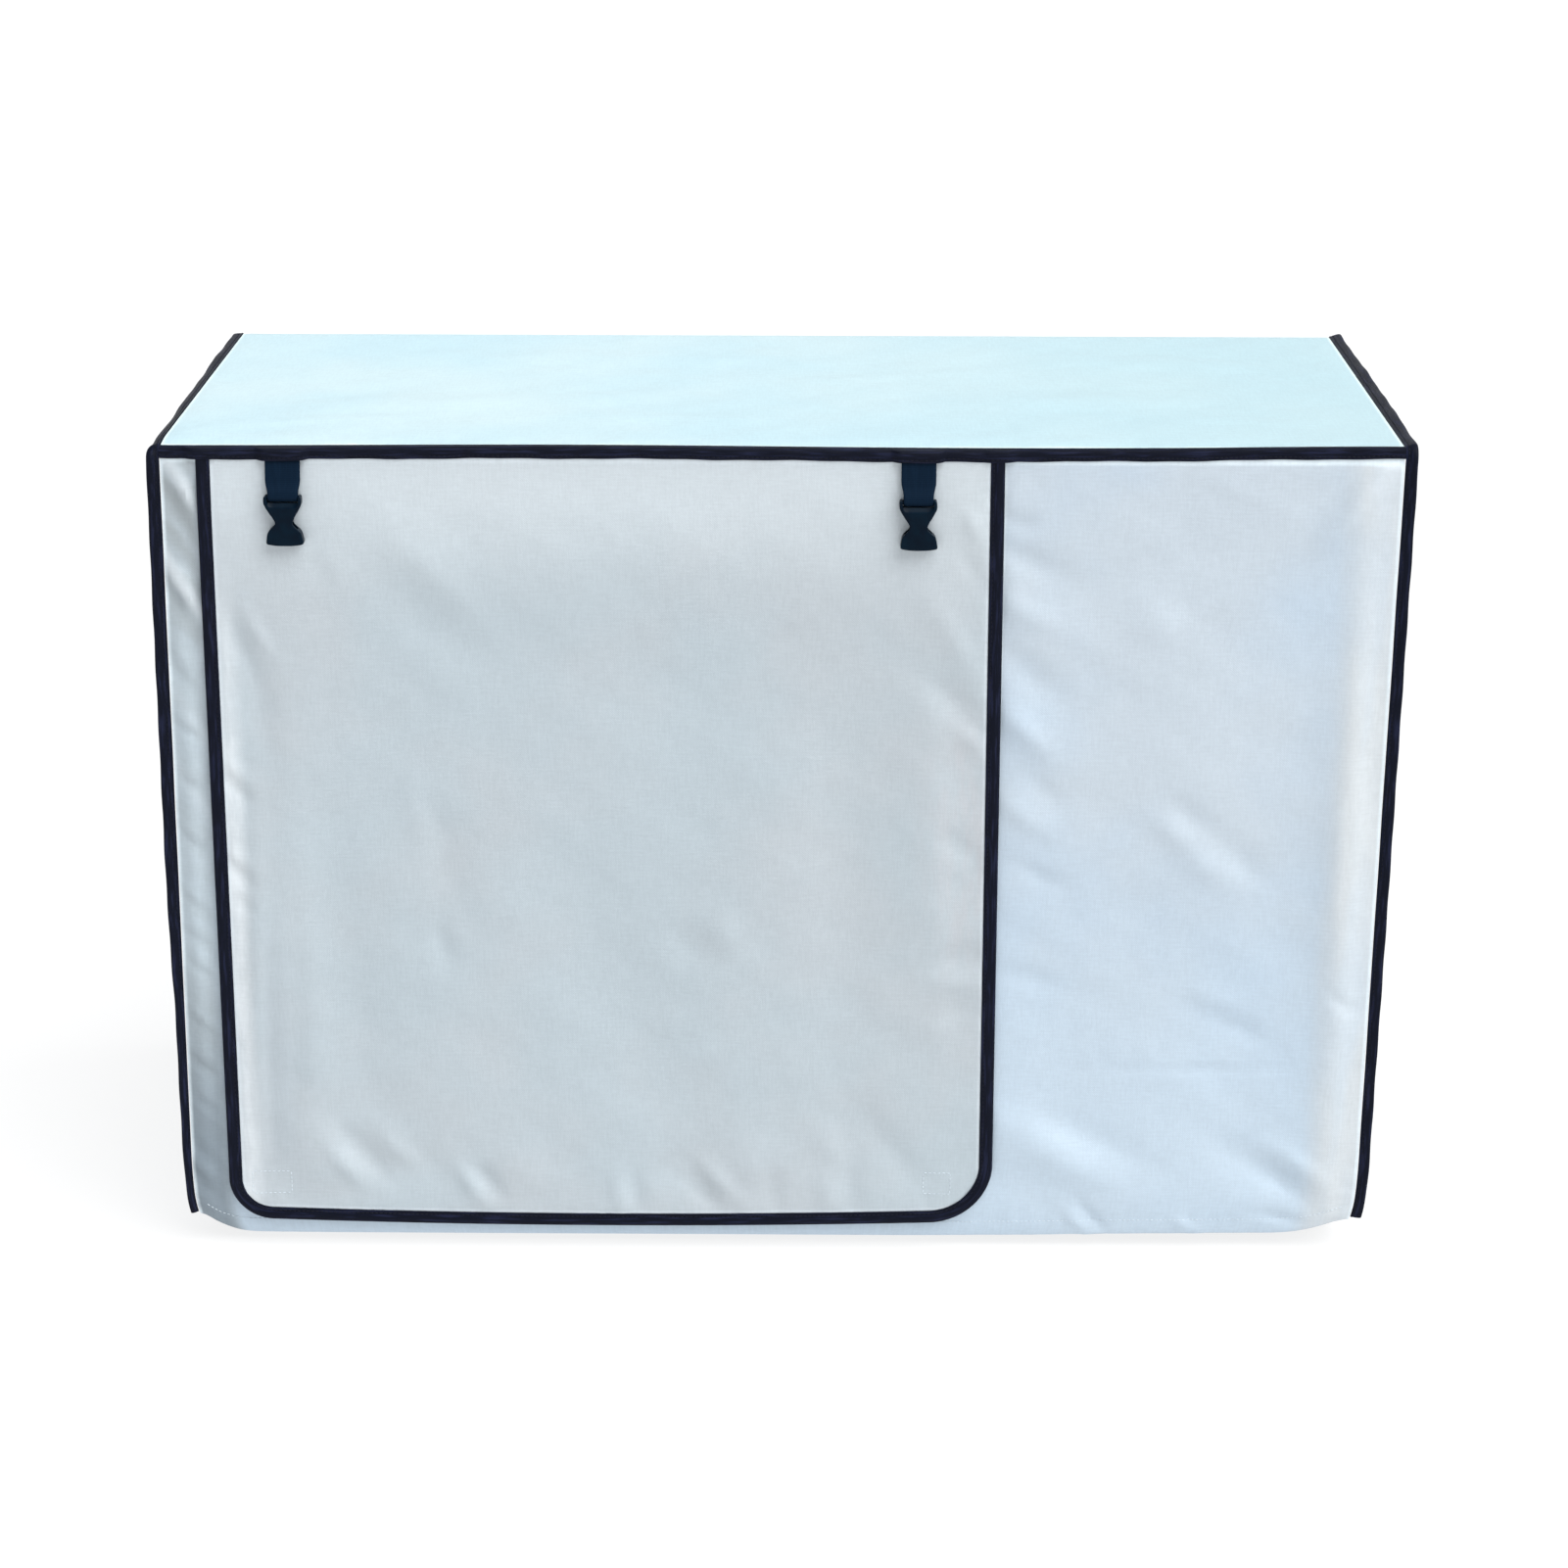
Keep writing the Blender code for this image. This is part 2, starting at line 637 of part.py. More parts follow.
def front_top_tape(finish):
    """Tape folded over the front top edge, with bumps over the binding and the straps."""
    stations = set(spaced(-WIDTH / 2 + 0.001, WIDTH / 2 - 0.001, 26))
    edges = [FLAP_MIDDLE_X - flap_half(0), FLAP_MIDDLE_X + flap_half(0)]
    edges += [FLAP_MIDDLE_X - flap_half(0) + BINDING_WIDTH]
    edges += [FLAP_MIDDLE_X + flap_half(0) - BINDING_WIDTH]
    for strap_x in STRAP_X:
        edges += [strap_x - STRAP_WIDTH / 2, strap_x + STRAP_WIDTH / 2]
    for edge in edges:
        for shift in (-0.0100, -0.0060, -0.0030, -0.0008, 0.0008, 0.0030, 0.0060, 0.0100):
            stations.add(edge + shift)
    wanted = sorted(x for x in stations if abs(x) < WIDTH / 2)
    xs = [wanted[0]]
    for x in wanted[1:]:
        if x - xs[-1] > 0.0012:
            xs.append(x)
    rings = []
    for x in xs:
        inner = FRONT_Y - tape_stand(x)
        outer = inner - TAPE_WALL
        top = TOP_EDGE_Z + GAP - top_dip(x, FRONT_Y)
        low = top - GAP - TAPE_ON_FRONT
        back = FRONT_Y + TAPE_ON_TOP
        back_top = TOP_EDGE_Z + GAP - top_dip(x, back)
        ring = [
            (back, back_top),
            (inner, top),
            (inner, low),
            (outer, low),
            (outer, top + 0.0002),
            (outer + 0.0007, top + TAPE_WALL),
            (back, back_top + TAPE_WALL),
        ]
        rings.append([Vector((x, y, z)) for y, z in ring])
    return swept("front_top_tape", rings, finish)


def side_loop(side):
    """The seam round a side panel as (y, z, outward y, outward z), from the front hem over the
    top to the back hem."""
    radius = FIN_CORNER_RADIUS
    middle = CLOTH / 2
    low = hem_z(0.0, side * WIDTH / 2) + FIN_ABOVE_HEM
    front, back = FRONT_Y + middle, -FRONT_Y - middle
    top = TOP_EDGE_Z - middle
    levels = [low, -0.560, -0.545, -0.528] + spaced(-0.500, -0.030, 15) + [top - radius]
    route = []
    for z in levels:
        inwards = drawn_in(z) + corner_drawn_in(z)
        route.append((front + inwards, z, -1.0, 0.0))
    for step in range(1, 4):
        angle = math.radians(22.5 * step)
        y = front + radius - radius * math.cos(angle)
        z = top - radius + radius * math.sin(angle)
        route.append((y, z, -math.cos(angle), math.sin(angle)))
    for y in spaced(front + radius, back - radius, 9):
        route.append((y, top, 0.0, 1.0))
    for step in range(1, 4):
        angle = math.radians(22.5 * step)
        y = back - radius + radius * math.sin(angle)
        z = top - radius + radius * math.cos(angle)
        route.append((y, z, math.sin(angle), math.cos(angle)))
    for z in reversed(levels):
        inwards = drawn_in(z) + corner_drawn_in(z)
        route.append((back - inwards, z, 1.0, 0.0))
    edge = side * WIDTH / 2
    return [(y, z - top_dip(edge, y) * ease(1 + z / 0.05), *way) for y, z, *way in route]


def side_binding(side, name, shape, phase, finish):
    """The bound seam round a side panel: it stands out sideways and waves a little."""
    half = FIN_THICKNESS / 2
    route = side_loop(side)
    lengths = [0.0]
    for before, after in zip(route, route[1:]):
        lengths.append(lengths[-1] + math.dist(before[:2], after[:2]))
    rings = []
    for (y, z, out_y, out_z), length in zip(route, lengths):
        width, tilt = interpolated(shape, length / lengths[-1])
        wave = math.sin(length * 46 + phase) + 0.6 * math.sin(length * 83 + 2 * phase)
        tilt += FIN_WAVE * wave / 1.6
        root = WIDTH / 2 - drawn_in(z) - corner_drawn_in(z) + FIN_ROOT
        profile = (
            (0.0, -half + 0.0004),
            (0.0004, -half),
            (width - 0.0008, -half),
            (width, -half + 0.0008),
            (width, half - 0.0008),
            (width - 0.0008, half),
            (0.0004, half),
            (0.0, half - 0.0004),
        )
        ring = []
        for out, thick in profile:
            sideways = max(root, root + out * math.cos(tilt) - thick * math.sin(tilt))
            raised = out * math.sin(tilt) + thick * math.cos(tilt)
            ring.append(
                Vector((side * sideways + lean(z), y + out_y * raised, z + out_z * raised))
            )
        rings.append(ring)
    return swept(name, rings, finish)


# Straps and buckle sockets


def strap_path(bar_z):
    """The middle of the webbing as (forward from its mid-plane, z): down the front layer, under
    the bar and up the back layer."""
    apart = STRAP_LAYERS_APART / 2
    loop = BAR_RADIUS + GAP + WEBBING / 2
    front = [(apart, z) for z in spaced(STRAP_TOP_Z, bar_z + 0.0105, 3)]
    front += [(apart + 0.25 * (loop - apart), bar_z + 0.0080), (loop, bar_z + 0.0030)]
    path = front + [(loop, bar_z)]
    for step in range(1, 6):
        angle = math.radians(30 * step)
        path.append((loop * math.cos(angle), bar_z - loop * math.sin(angle)))
    path.append((-loop, bar_z))
    return path + [(-forward, z) for forward, z in reversed(front)]


def strap_forward(z, bar_z):
    """How far in front of the front panel the strap's mid-plane hangs."""
    share = (STRAP_TOP_Z - z) / (STRAP_TOP_Z - bar_z)
    return STRAP_TOP_FORWARD + (BUCKLE_FORWARD - STRAP_TOP_FORWARD) * min(1.0, share)


def strap(name, strap_x, bar_z, finish):
    """Webbing folded round the socket's bar, its two ends caught in the top seam."""
    path = strap_path(bar_z)
    rings = []
    for n, (forward, z) in enumerate(path):
        before, after = path[max(0, n - 1)], path[min(len(path) - 1, n + 1)]
        run = Vector((after[0] - before[0], after[1] - before[1])).normalized()
        aside = Vector((run.y, -run.x)) * (WEBBING / 2)
        narrowing = ease((-0.010 - z) / 0.018)
        half = (STRAP_WIDTH + (STRAP_WIDTH_AT_BAR - STRAP_WIDTH) * narrowing) / 2
        ring = []
        for x, way in ((-half, 1), (half, 1), (half, -1), (-half, -1)):
            out = forward + way * aside.x
            y = FRONT_Y - strap_forward(z, bar_z) - out
            ring.append(Vector((strap_x + x, y, z + way * aside.y)))
        rings.append(ring)
    return swept(name, rings, finish, smooth=False)


def box(name, low, high, finish):
    """A plain box between two corners."""
    points = [(x, y, z) for x in (low[0], high[0]) for y in (low[1], high[1]) for z in (low[2], high[2])]
    faces = [(0, 1, 3, 2), (4, 6, 7, 5), (0, 4, 5, 1), (2, 3, 7, 6), (0, 2, 6, 4), (1, 5, 7, 3)]
    return solid(name, points, faces, finish, smooth=False)


def tube(name, left, right, outer, inner, finish):
    """A tube along X between two outlines of as many (y, z) points each."""
    count = len(outer)
    points = [(x, y, z) for x in (left, right) for outline in (outer, inner) for y, z in outline]
    faces = []
    for k in range(count):
        n = (k + 1) % count
        for first, second in ((0, 1), (2, 3), (0, 2), (1, 3)):
            start, end = first * count, second * count
            faces.append((start + k, start + n, end + n, end + k))
    return solid(name, points, faces, finish, smooth=False)


def buckle_outline():
    """The right half of the socket seen from the front, as (x, distance below the ears' tops)."""
    return (
        (0.0106, 0.0),
        (0.0119, 0.0005),
        (0.0124, 0.0016),
        (0.0124, 0.0052),
        (0.0118, 0.0068),
        (0.0096, 0.0099),
        (0.0073, 0.0132),
        (0.0059, 0.0155),
        (0.0056, 0.0166),
        (0.0060, 0.0178),
        (0.0082, 0.0198),
        (0.0108, 0.0220),
        (0.0120, 0.0235),
        (0.0124, 0.0252),
        (0.0126, 0.0318),
        (0.0120, 0.0332),
        (0.0106, 0.0337),
        (0.0060, BUCKLE_LENGTH),
    )


def buckle_socket(name, strap_x, bar_z, finish):
    """The half of a side-release buckle that takes the prongs: an hourglass body open below,
    cut through at its waist, with two ears and a bar for the webbing."""
    middle = FRONT_Y - BUCKLE_FORWARD
    front, back = middle - BUCKLE_THICK / 2, middle + BUCKLE_THICK / 2
    top = bar_z + BUCKLE_ABOVE_BAR
    bottom = top - BUCKLE_LENGTH
    right = buckle_outline()
    outline = list(right) + [(-x, z) for x, z in reversed(right)]
    chamfer = 0.0007
    rings = []
    for y, inset in ((front, chamfer), (front + chamfer, 0), (back - chamfer, 0), (back, chamfer)):
        ring = []
        for x, below in outline:
            level = top - max(inset, below)
            ring.append(Vector((strap_x + x - math.copysign(inset, x), y, level)))
        rings.append(ring)
    body = swept(name, rings, finish, smooth=False)
    bar, around = [], []
    for step in range(8):
        angle = math.radians(22.5 + 45 * step)
        out, up = math.cos(angle), math.sin(angle)
        bar.append((middle + BAR_RADIUS * out, bar_z + BAR_RADIUS * up))
        end = bar_z - SLOT_DEPTH if up < 0 else top + 0.010
        if abs(up) > abs(out):
            around.append((middle + math.copysign(0.005, out), end))
        else:
            around.append((middle + math.copysign(0.012, out), bar_z + math.copysign(0.001, up)))
    webbing_space = tube(
        f"{name}_webbing_space", strap_x - EAR_INSIDE / 2, strap_x + EAR_INSIDE / 2, around, bar, finish
    )
    prong_space = box(
        f"{name}_prong_space",
        (strap_x - SOCKET_WIDE / 2, middle - SOCKET_THICK / 2, bottom - 0.010),
        (strap_x + SOCKET_WIDE / 2, middle + SOCKET_THICK / 2, bottom + SOCKET_DEEP),
        finish,
    )
    for cutter in (webbing_space, prong_space):
        cutter.hide_render = True
        cutter.display_type = "WIRE"
        cut = body.modifiers.new(cutter.name, "BOOLEAN")
        cut.operation = "DIFFERENCE"
        cut.solver = "EXACT"
        cut.object = cutter
    return body


def main():
    for old in list(bpy.data.objects):
        bpy.data.objects.remove(old, do_unlink=True)
    silver = material("silver_cloth", (0.66, 0.71, 0.75), 0.42, 0.25)
    black = material("black_tape", (0.020, 0.022, 0.032), 0.55, 0.0)
    navy = material("dark_webbing", (0.018, 0.028, 0.045), 0.70, 0.0)
    plastic = material("dark_plastic", (0.016, 0.022, 0.028), 0.38, 0.0)
    front_panel(silver)
    side_panel(-1, "left_side_panel", silver)
    side_panel(1, "right_side_panel", silver)
    top_back_panel(silver)
    flap(silver)
    flap_binding(black)
    front_top_tape(black)
    side_binding(-1, "left_side_binding", LEFT_FIN, 0.4, black)
    side_binding(1, "right_side_binding", RIGHT_FIN, 2.1, black)
    for place, strap_x, bar_z in zip(("left", "right"), STRAP_X, BAR_Z):
        strap(f"{place}_strap", strap_x, bar_z, navy)
        buckle_socket(f"{place}_buckle_socket", strap_x, bar_z, plastic)


main()
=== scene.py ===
import math
from collections import namedtuple
from functools import partial

import bmesh
import bpy
import numpy as np
from mathutils import Matrix, Vector
from mathutils.geometry import delaunay_2d_cdt


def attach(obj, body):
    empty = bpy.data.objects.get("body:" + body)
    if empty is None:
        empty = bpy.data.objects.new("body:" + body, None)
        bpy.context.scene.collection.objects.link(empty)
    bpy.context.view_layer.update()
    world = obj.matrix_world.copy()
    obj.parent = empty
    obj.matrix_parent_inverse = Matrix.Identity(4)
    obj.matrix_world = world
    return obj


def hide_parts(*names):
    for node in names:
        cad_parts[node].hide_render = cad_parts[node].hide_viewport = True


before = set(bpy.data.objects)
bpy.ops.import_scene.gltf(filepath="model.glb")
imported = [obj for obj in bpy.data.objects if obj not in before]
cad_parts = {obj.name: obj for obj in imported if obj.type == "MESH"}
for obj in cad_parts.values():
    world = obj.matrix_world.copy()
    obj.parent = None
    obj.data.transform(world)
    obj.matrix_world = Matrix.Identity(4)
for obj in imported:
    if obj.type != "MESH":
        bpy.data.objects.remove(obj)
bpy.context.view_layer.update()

# Finer cloth, tape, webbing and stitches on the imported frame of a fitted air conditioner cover.
# Lengths are in metres, +Z is up and -Y is the front. The sizes and soft folds in this first
# block are the frame's own, so that each sheet lies where its solid does.

WIDTH = 0.840
DEPTH = 0.384
HEIGHT = 0.586
CLOTH = 0.0012
TAPE_WALL = 0.0008
GAP = 0.0003
FRONT_Y = -DEPTH / 2
TOP_EDGE_Z = CLOTH

HEM_DEPTH = 0.013
HEM_EXTRA = 0.0010
HEM_ROUND = 0.0011
TURN_HEIGHT = 0.036
DRAW_IN = 0.0040
CORNER_TURN_HEIGHT = 0.065
CORNER_DRAW = 0.0035
CORNER_REACH = 0.028
LEFT_LIFT = 0.0150
LEFT_LIFT_REACH = 0.0165
RIGHT_LIFT = 0.0115
RIGHT_LIFT_REACH = 0.0280
HEM_RISE = 0.0035
HEM_RISE_FROM = 0.080
HEM_RISE_OVER = 0.260
LEAN = 0.0047

DIP = 0.0020
DIP_SWING = 0.0008
DIP_WAVE = 0.560
DIP_REACH = 0.030
DIP_ENDS_FROM = 0.260
DIP_ENDS_OVER = 0.160
BACK_FOLD_RADIUS = 0.009

WINDOW_LEFT = -0.357
WINDOW_RIGHT = 0.112
WINDOW_TOP = -0.034
WINDOW_BOTTOM = -0.536

FLAP_MIDDLE_X = -0.1225
FLAP_HALF_TOP = 0.2732
FLAP_HALF_BOTTOM = 0.2753
FLAP_TOP = -0.0022
FLAP_BOTTOM = -0.5700
FLAP_SAG = 0.0050
FLAP_RADIUS_LEFT = 0.031
FLAP_RADIUS_RIGHT = 0.045
STAND_AT_SEAM = 0.0015
STAND_BELOW = 0.0032
STAND_FROM_Z = -0.012
STAND_TO_Z = -0.046
BINDING_WIDTH = 0.0097
BINDING_BULGE = 0.00035
BINDING_SEAM = 0.0021
FLAP_INSET = 0.0014

TAPE_ON_FRONT = 0.0068
TAPE_ON_TOP = 0.0030
TAPE_LOW = 0.0088

FIN_THICKNESS = 0.0026
FIN_ROOT = 0.0005
FIN_ABOVE_HEM = 0.0025
FIN_CORNER_RADIUS = 0.0075
FIN_WAVE = math.radians(6)
Fin = namedtuple("Fin", "along width tilt")
LEFT_FIN = (
    Fin(0.00, 0.0066, 38),
    Fin(0.07, 0.0072, 34),
    Fin(0.19, 0.0092, 12),
    Fin(0.34, 0.0092, 8),
    Fin(0.371, 0.0090, 2),
    Fin(0.381, 0.0066, -22),
    Fin(0.41, 0.0072, -22),
    Fin(0.61, 0.0082, -5),
    Fin(1.00, 0.0090, 6),
)
RIGHT_FIN = (
    Fin(0.00, 0.0080, 14),
    Fin(0.20, 0.0086, 8),
    Fin(0.37, 0.0088, 10),
    Fin(0.50, 0.0094, 14),
    Fin(0.63, 0.0092, 10),
    Fin(1.00, 0.0088, 6),
)

STRAP_X = (-0.3365, 0.0925)
STRAP_WIDTH = 0.0235
STRAP_WIDTH_AT_BAR = 0.0203
WEBBING = 0.0010
STRAP_LAYERS_APART = 0.0013
STRAP_TOP_Z = -0.0022
STRAP_TOP_FORWARD = 0.0043
BUCKLE_FORWARD = 0.0093
BAR_Z = (-0.0331, -0.0347)
BAR_RADIUS = 0.0015
BAR_LENGTH = 0.0226
WEBBING_RIB, WEBBING_RIB_DEPTH = 0.0014, 0.00005
LAYERS_PART_ABOVE_BAR = 0.0105
STRAP_NARROWS_FROM, STRAP_NARROWS_OVER = -0.0215, 0.0095

# Soft ridges (height above 0) and troughs (below 0). Each row says where its middle is on the
# panel (across, up), how long and wide it is, which way it runs (degrees up from the panel's first
# axis), and how high

FRONT_FOLDS = (
    (0.388, -0.290, 0.230, 0.020, 91, 0.0028), (0.290, -0.215, 0.120, 0.055, 80, 0.0026),
    (0.215, -0.430, 0.120, 0.040, 64, -0.0020), (0.330, -0.440, 0.100, 0.034, 118, -0.0016),
    (0.365, -0.062, 0.060, 0.018, 38, 0.0020), (0.262, -0.085, 0.080, 0.026, 8, -0.0016),
    (0.345, -0.528, 0.034, 0.014, -38, -0.0024), (0.205, -0.528, 0.050, 0.018, -14, 0.0020),
    (-0.410, -0.040, 0.020, 0.012, -42, 0.0016), (-0.410, -0.098, 0.022, 0.012, -46, 0.0020),
    (-0.411, -0.142, 0.020, 0.013, -34, -0.0015), (-0.412, -0.230, 0.026, 0.014, -28, 0.0012),
    (-0.413, -0.330, 0.024, 0.014, -36, -0.0012), (-0.414, -0.430, 0.024, 0.014, -30, 0.0014),
    (-0.414, -0.500, 0.022, 0.014, -36, -0.0014),
)
FLAP_FOLDS = (
    (-0.180, -0.075, 0.200, 0.030, 2, 0.0022), (-0.060, -0.160, 0.150, 0.050, -4, -0.0022),
    (-0.345, -0.330, 0.150, 0.020, 86, 0.0026), (-0.305, -0.400, 0.120, 0.024, 95, -0.0022),
    (-0.190, -0.300, 0.120, 0.040, 66, 0.0018), (-0.120, -0.380, 0.140, 0.034, 118, -0.0020),
    (-0.020, -0.300, 0.110, 0.036, 74, 0.0022), (0.045, -0.340, 0.160, 0.026, 90, -0.0024),
    (0.105, -0.260, 0.140, 0.020, 92, 0.0026), (-0.330, -0.530, 0.040, 0.020, 128, 0.0020),
    (-0.255, -0.535, 0.036, 0.020, 118, -0.0020), (-0.185, -0.540, 0.034, 0.018, 100, 0.0018),
    (-0.075, -0.532, 0.040, 0.022, 60, -0.0024), (-0.020, -0.538, 0.034, 0.018, 96, 0.0020),
    (0.050, -0.530, 0.040, 0.018, 94, -0.0018),
)
TOP_FOLDS = (
    (-0.230, -0.060, 0.120, 0.026, 8, 0.0022), (-0.120, 0.090, 0.140, 0.026, -5, 0.0020),
    (0.210, -0.050, 0.120, 0.028, 6, 0.0021), (0.280, 0.080, 0.090, 0.024, -12, 0.0019),
)
TOP_LIES_FLAT_BELOW = 0.0004
BACK_FOLDS = (
    (-0.200, -0.300, 0.180, 0.050, 84, 0.0030), (0.030, -0.350, 0.200, 0.050, 97, -0.0028),
    (0.260, -0.250, 0.180, 0.050, 88, 0.0030), (0.360, -0.100, 0.080, 0.024, 52, 0.0022),
    (-0.350, -0.100, 0.080, 0.024, 128, 0.0022),
)
SIDE_FOLDS = (
    (-0.090, -0.240, 0.170, 0.034, 93, 0.0028), (0.010, -0.360, 0.150, 0.034, 84, -0.0030),
    (0.100, -0.220, 0.160, 0.034, 90, 0.0026), (-0.120, -0.075, 0.060, 0.022, 44, 0.0022),
    (0.120, -0.085, 0.060, 0.022, 136, 0.0022), (-0.060, -0.500, 0.060, 0.024, 62, -0.0020),
)

# Finer creases that only the sheets have, and how deep each panel's are pressed
FRONT_PRESSED, FLAP_PRESSED, BACK_PRESSED, SIDE_PRESSED = 1.4, 1.7, 2.8, 2.6
FRONT_CREASES = (
    (0.1611, -0.0512, 0.0149, 0.0060, -10, -0.0012), (0.1696, -0.0779, 0.0255, 0.0090, -27, -0.0016),
    (0.1674, -0.1139, 0.0220, 0.0100, -28, 0.0016), (0.1722, -0.1576, 0.0301, 0.0120, -40, -0.0020),
    (0.1705, -0.1993, 0.0221, 0.0090, -43, 0.0024), (0.1855, -0.2446, 0.0216, 0.0080, -42, -0.0012),
    (0.1704, -0.2609, 0.0221, 0.0080, -35, 0.0014), (0.1845, -0.3062, 0.0173, 0.0060, -25, -0.0012),
    (0.1795, -0.3837, 0.0246, 0.0080, -17, -0.0012), (0.2033, -0.5182, 0.0525, 0.0160, -33, 0.0026),
    (0.2246, -0.5046, 0.0518, 0.0100, -26, -0.0012), (0.3675, -0.5408, 0.0245, 0.0080, -34, -0.0028),
    (0.3776, -0.5256, 0.0228, 0.0070, -34, 0.0016), (0.2997, -0.4526, 0.0625, 0.0030, 0, -0.0008),
    (0.3992, -0.3990, 0.0118, 0.0035, -39, -0.0012), (0.2589, -0.1239, 0.0160, 0.0140, -41, 0.0015),
    (0.2870, -0.2603, 0.0216, 0.0080, -35, -0.0012), (0.2785, -0.2759, 0.0211, 0.0080, -38, 0.0012),
    (0.3263, -0.2961, 0.0214, 0.0100, -43, -0.0015), (0.2973, -0.2984, 0.0193, 0.0100, -34, 0.0013),
    (0.3292, -0.4204, 0.0193, 0.0080, -23, -0.0013), (0.3079, -0.3972, 0.0201, 0.0080, -24, 0.0010),
    (0.3893, -0.0415, 0.0374, 0.0090, 49, 0.0024), (0.3758, -0.0252, 0.0277, 0.0080, 34, -0.0013),
    (0.3972, -0.2871, 0.2396, 0.0120, -90, 0.0032), (0.1404, -0.5685, 0.0179, 0.0035, -60, -0.0017),
    (0.1319, -0.5709, 0.0173, 0.0040, -59, 0.0013), (0.2315, -0.5680, 0.0148, 0.0035, -47, -0.0019),
    (0.2221, -0.5743, 0.0155, 0.0040, -45, 0.0013), (0.3686, -0.5687, 0.0185, 0.0040, -14, -0.0013),
    (-0.3280, -0.5805, 0.0068, 0.0030, -67, -0.0014), (-0.1195, -0.5817, 0.0069, 0.0030, -52, -0.0014),
    (0.0114, -0.5825, 0.0070, 0.0030, -52, -0.0014), (-0.1583, -0.5811, 0.0071, 0.0040, -41, 0.0008),
    (0.3017, -0.5761, 0.0130, 0.0040, -32, 0.0010), (-0.4018, -0.0323, 0.0167, 0.0055, -59, 0.0026),
    (-0.4072, -0.0494, 0.0212, 0.0070, -64, -0.0018), (-0.4110, -0.0921, 0.0201, 0.0060, -56, 0.0028),
    (-0.4112, -0.1108, 0.0203, 0.0060, -58, -0.0020), (-0.4101, -0.1478, 0.0177, 0.0060, -52, 0.0014),
    (-0.4095, -0.1647, 0.0178, 0.0060, -52, -0.0014), (-0.4077, -0.3168, 0.2455, 0.0065, 90, 0.0024),
    (-0.4071, -0.2015, 0.0151, 0.0028, -34, -0.0013), (-0.4068, -0.1951, 0.0151, 0.0030, -34, 0.0010),
    (-0.4065, -0.2409, 0.0149, 0.0028, -35, -0.0013), (-0.4063, -0.2344, 0.0149, 0.0030, -35, 0.0010),
    (-0.4059, -0.2843, 0.0147, 0.0028, -36, -0.0013), (-0.4056, -0.2777, 0.0147, 0.0030, -36, 0.0010),
    (-0.4053, -0.3318, 0.0145, 0.0028, -37, -0.0013), (-0.4050, -0.3252, 0.0145, 0.0030, -37, 0.0010),
    (-0.4049, -0.3577, 0.0143, 0.0028, -38, -0.0013), (-0.4046, -0.3510, 0.0143, 0.0030, -38, 0.0010),
    (-0.4046, -0.3800, 0.0142, 0.0028, -39, -0.0013), (-0.4043, -0.3733, 0.0142, 0.0030, -39, 0.0010),
    (-0.4039, -0.4249, 0.0140, 0.0028, -40, -0.0013), (-0.4037, -0.4182, 0.0140, 0.0030, -40, 0.0010),
    (-0.4035, -0.4552, 0.0139, 0.0028, -41, -0.0013), (-0.4032, -0.4484, 0.0139, 0.0030, -41, 0.0010),
    (-0.4031, -0.4857, 0.0138, 0.0028, -42, -0.0013), (-0.4028, -0.4788, 0.0137, 0.0030, -42, 0.0010),
    (-0.4130, -0.5196, 0.0168, 0.0050, -43, -0.0016), (-0.4107, -0.5490, 0.0176, 0.0060, -35, -0.0014),
    (-0.4108, -0.5327, 0.0163, 0.0040, -41, 0.0012),
)
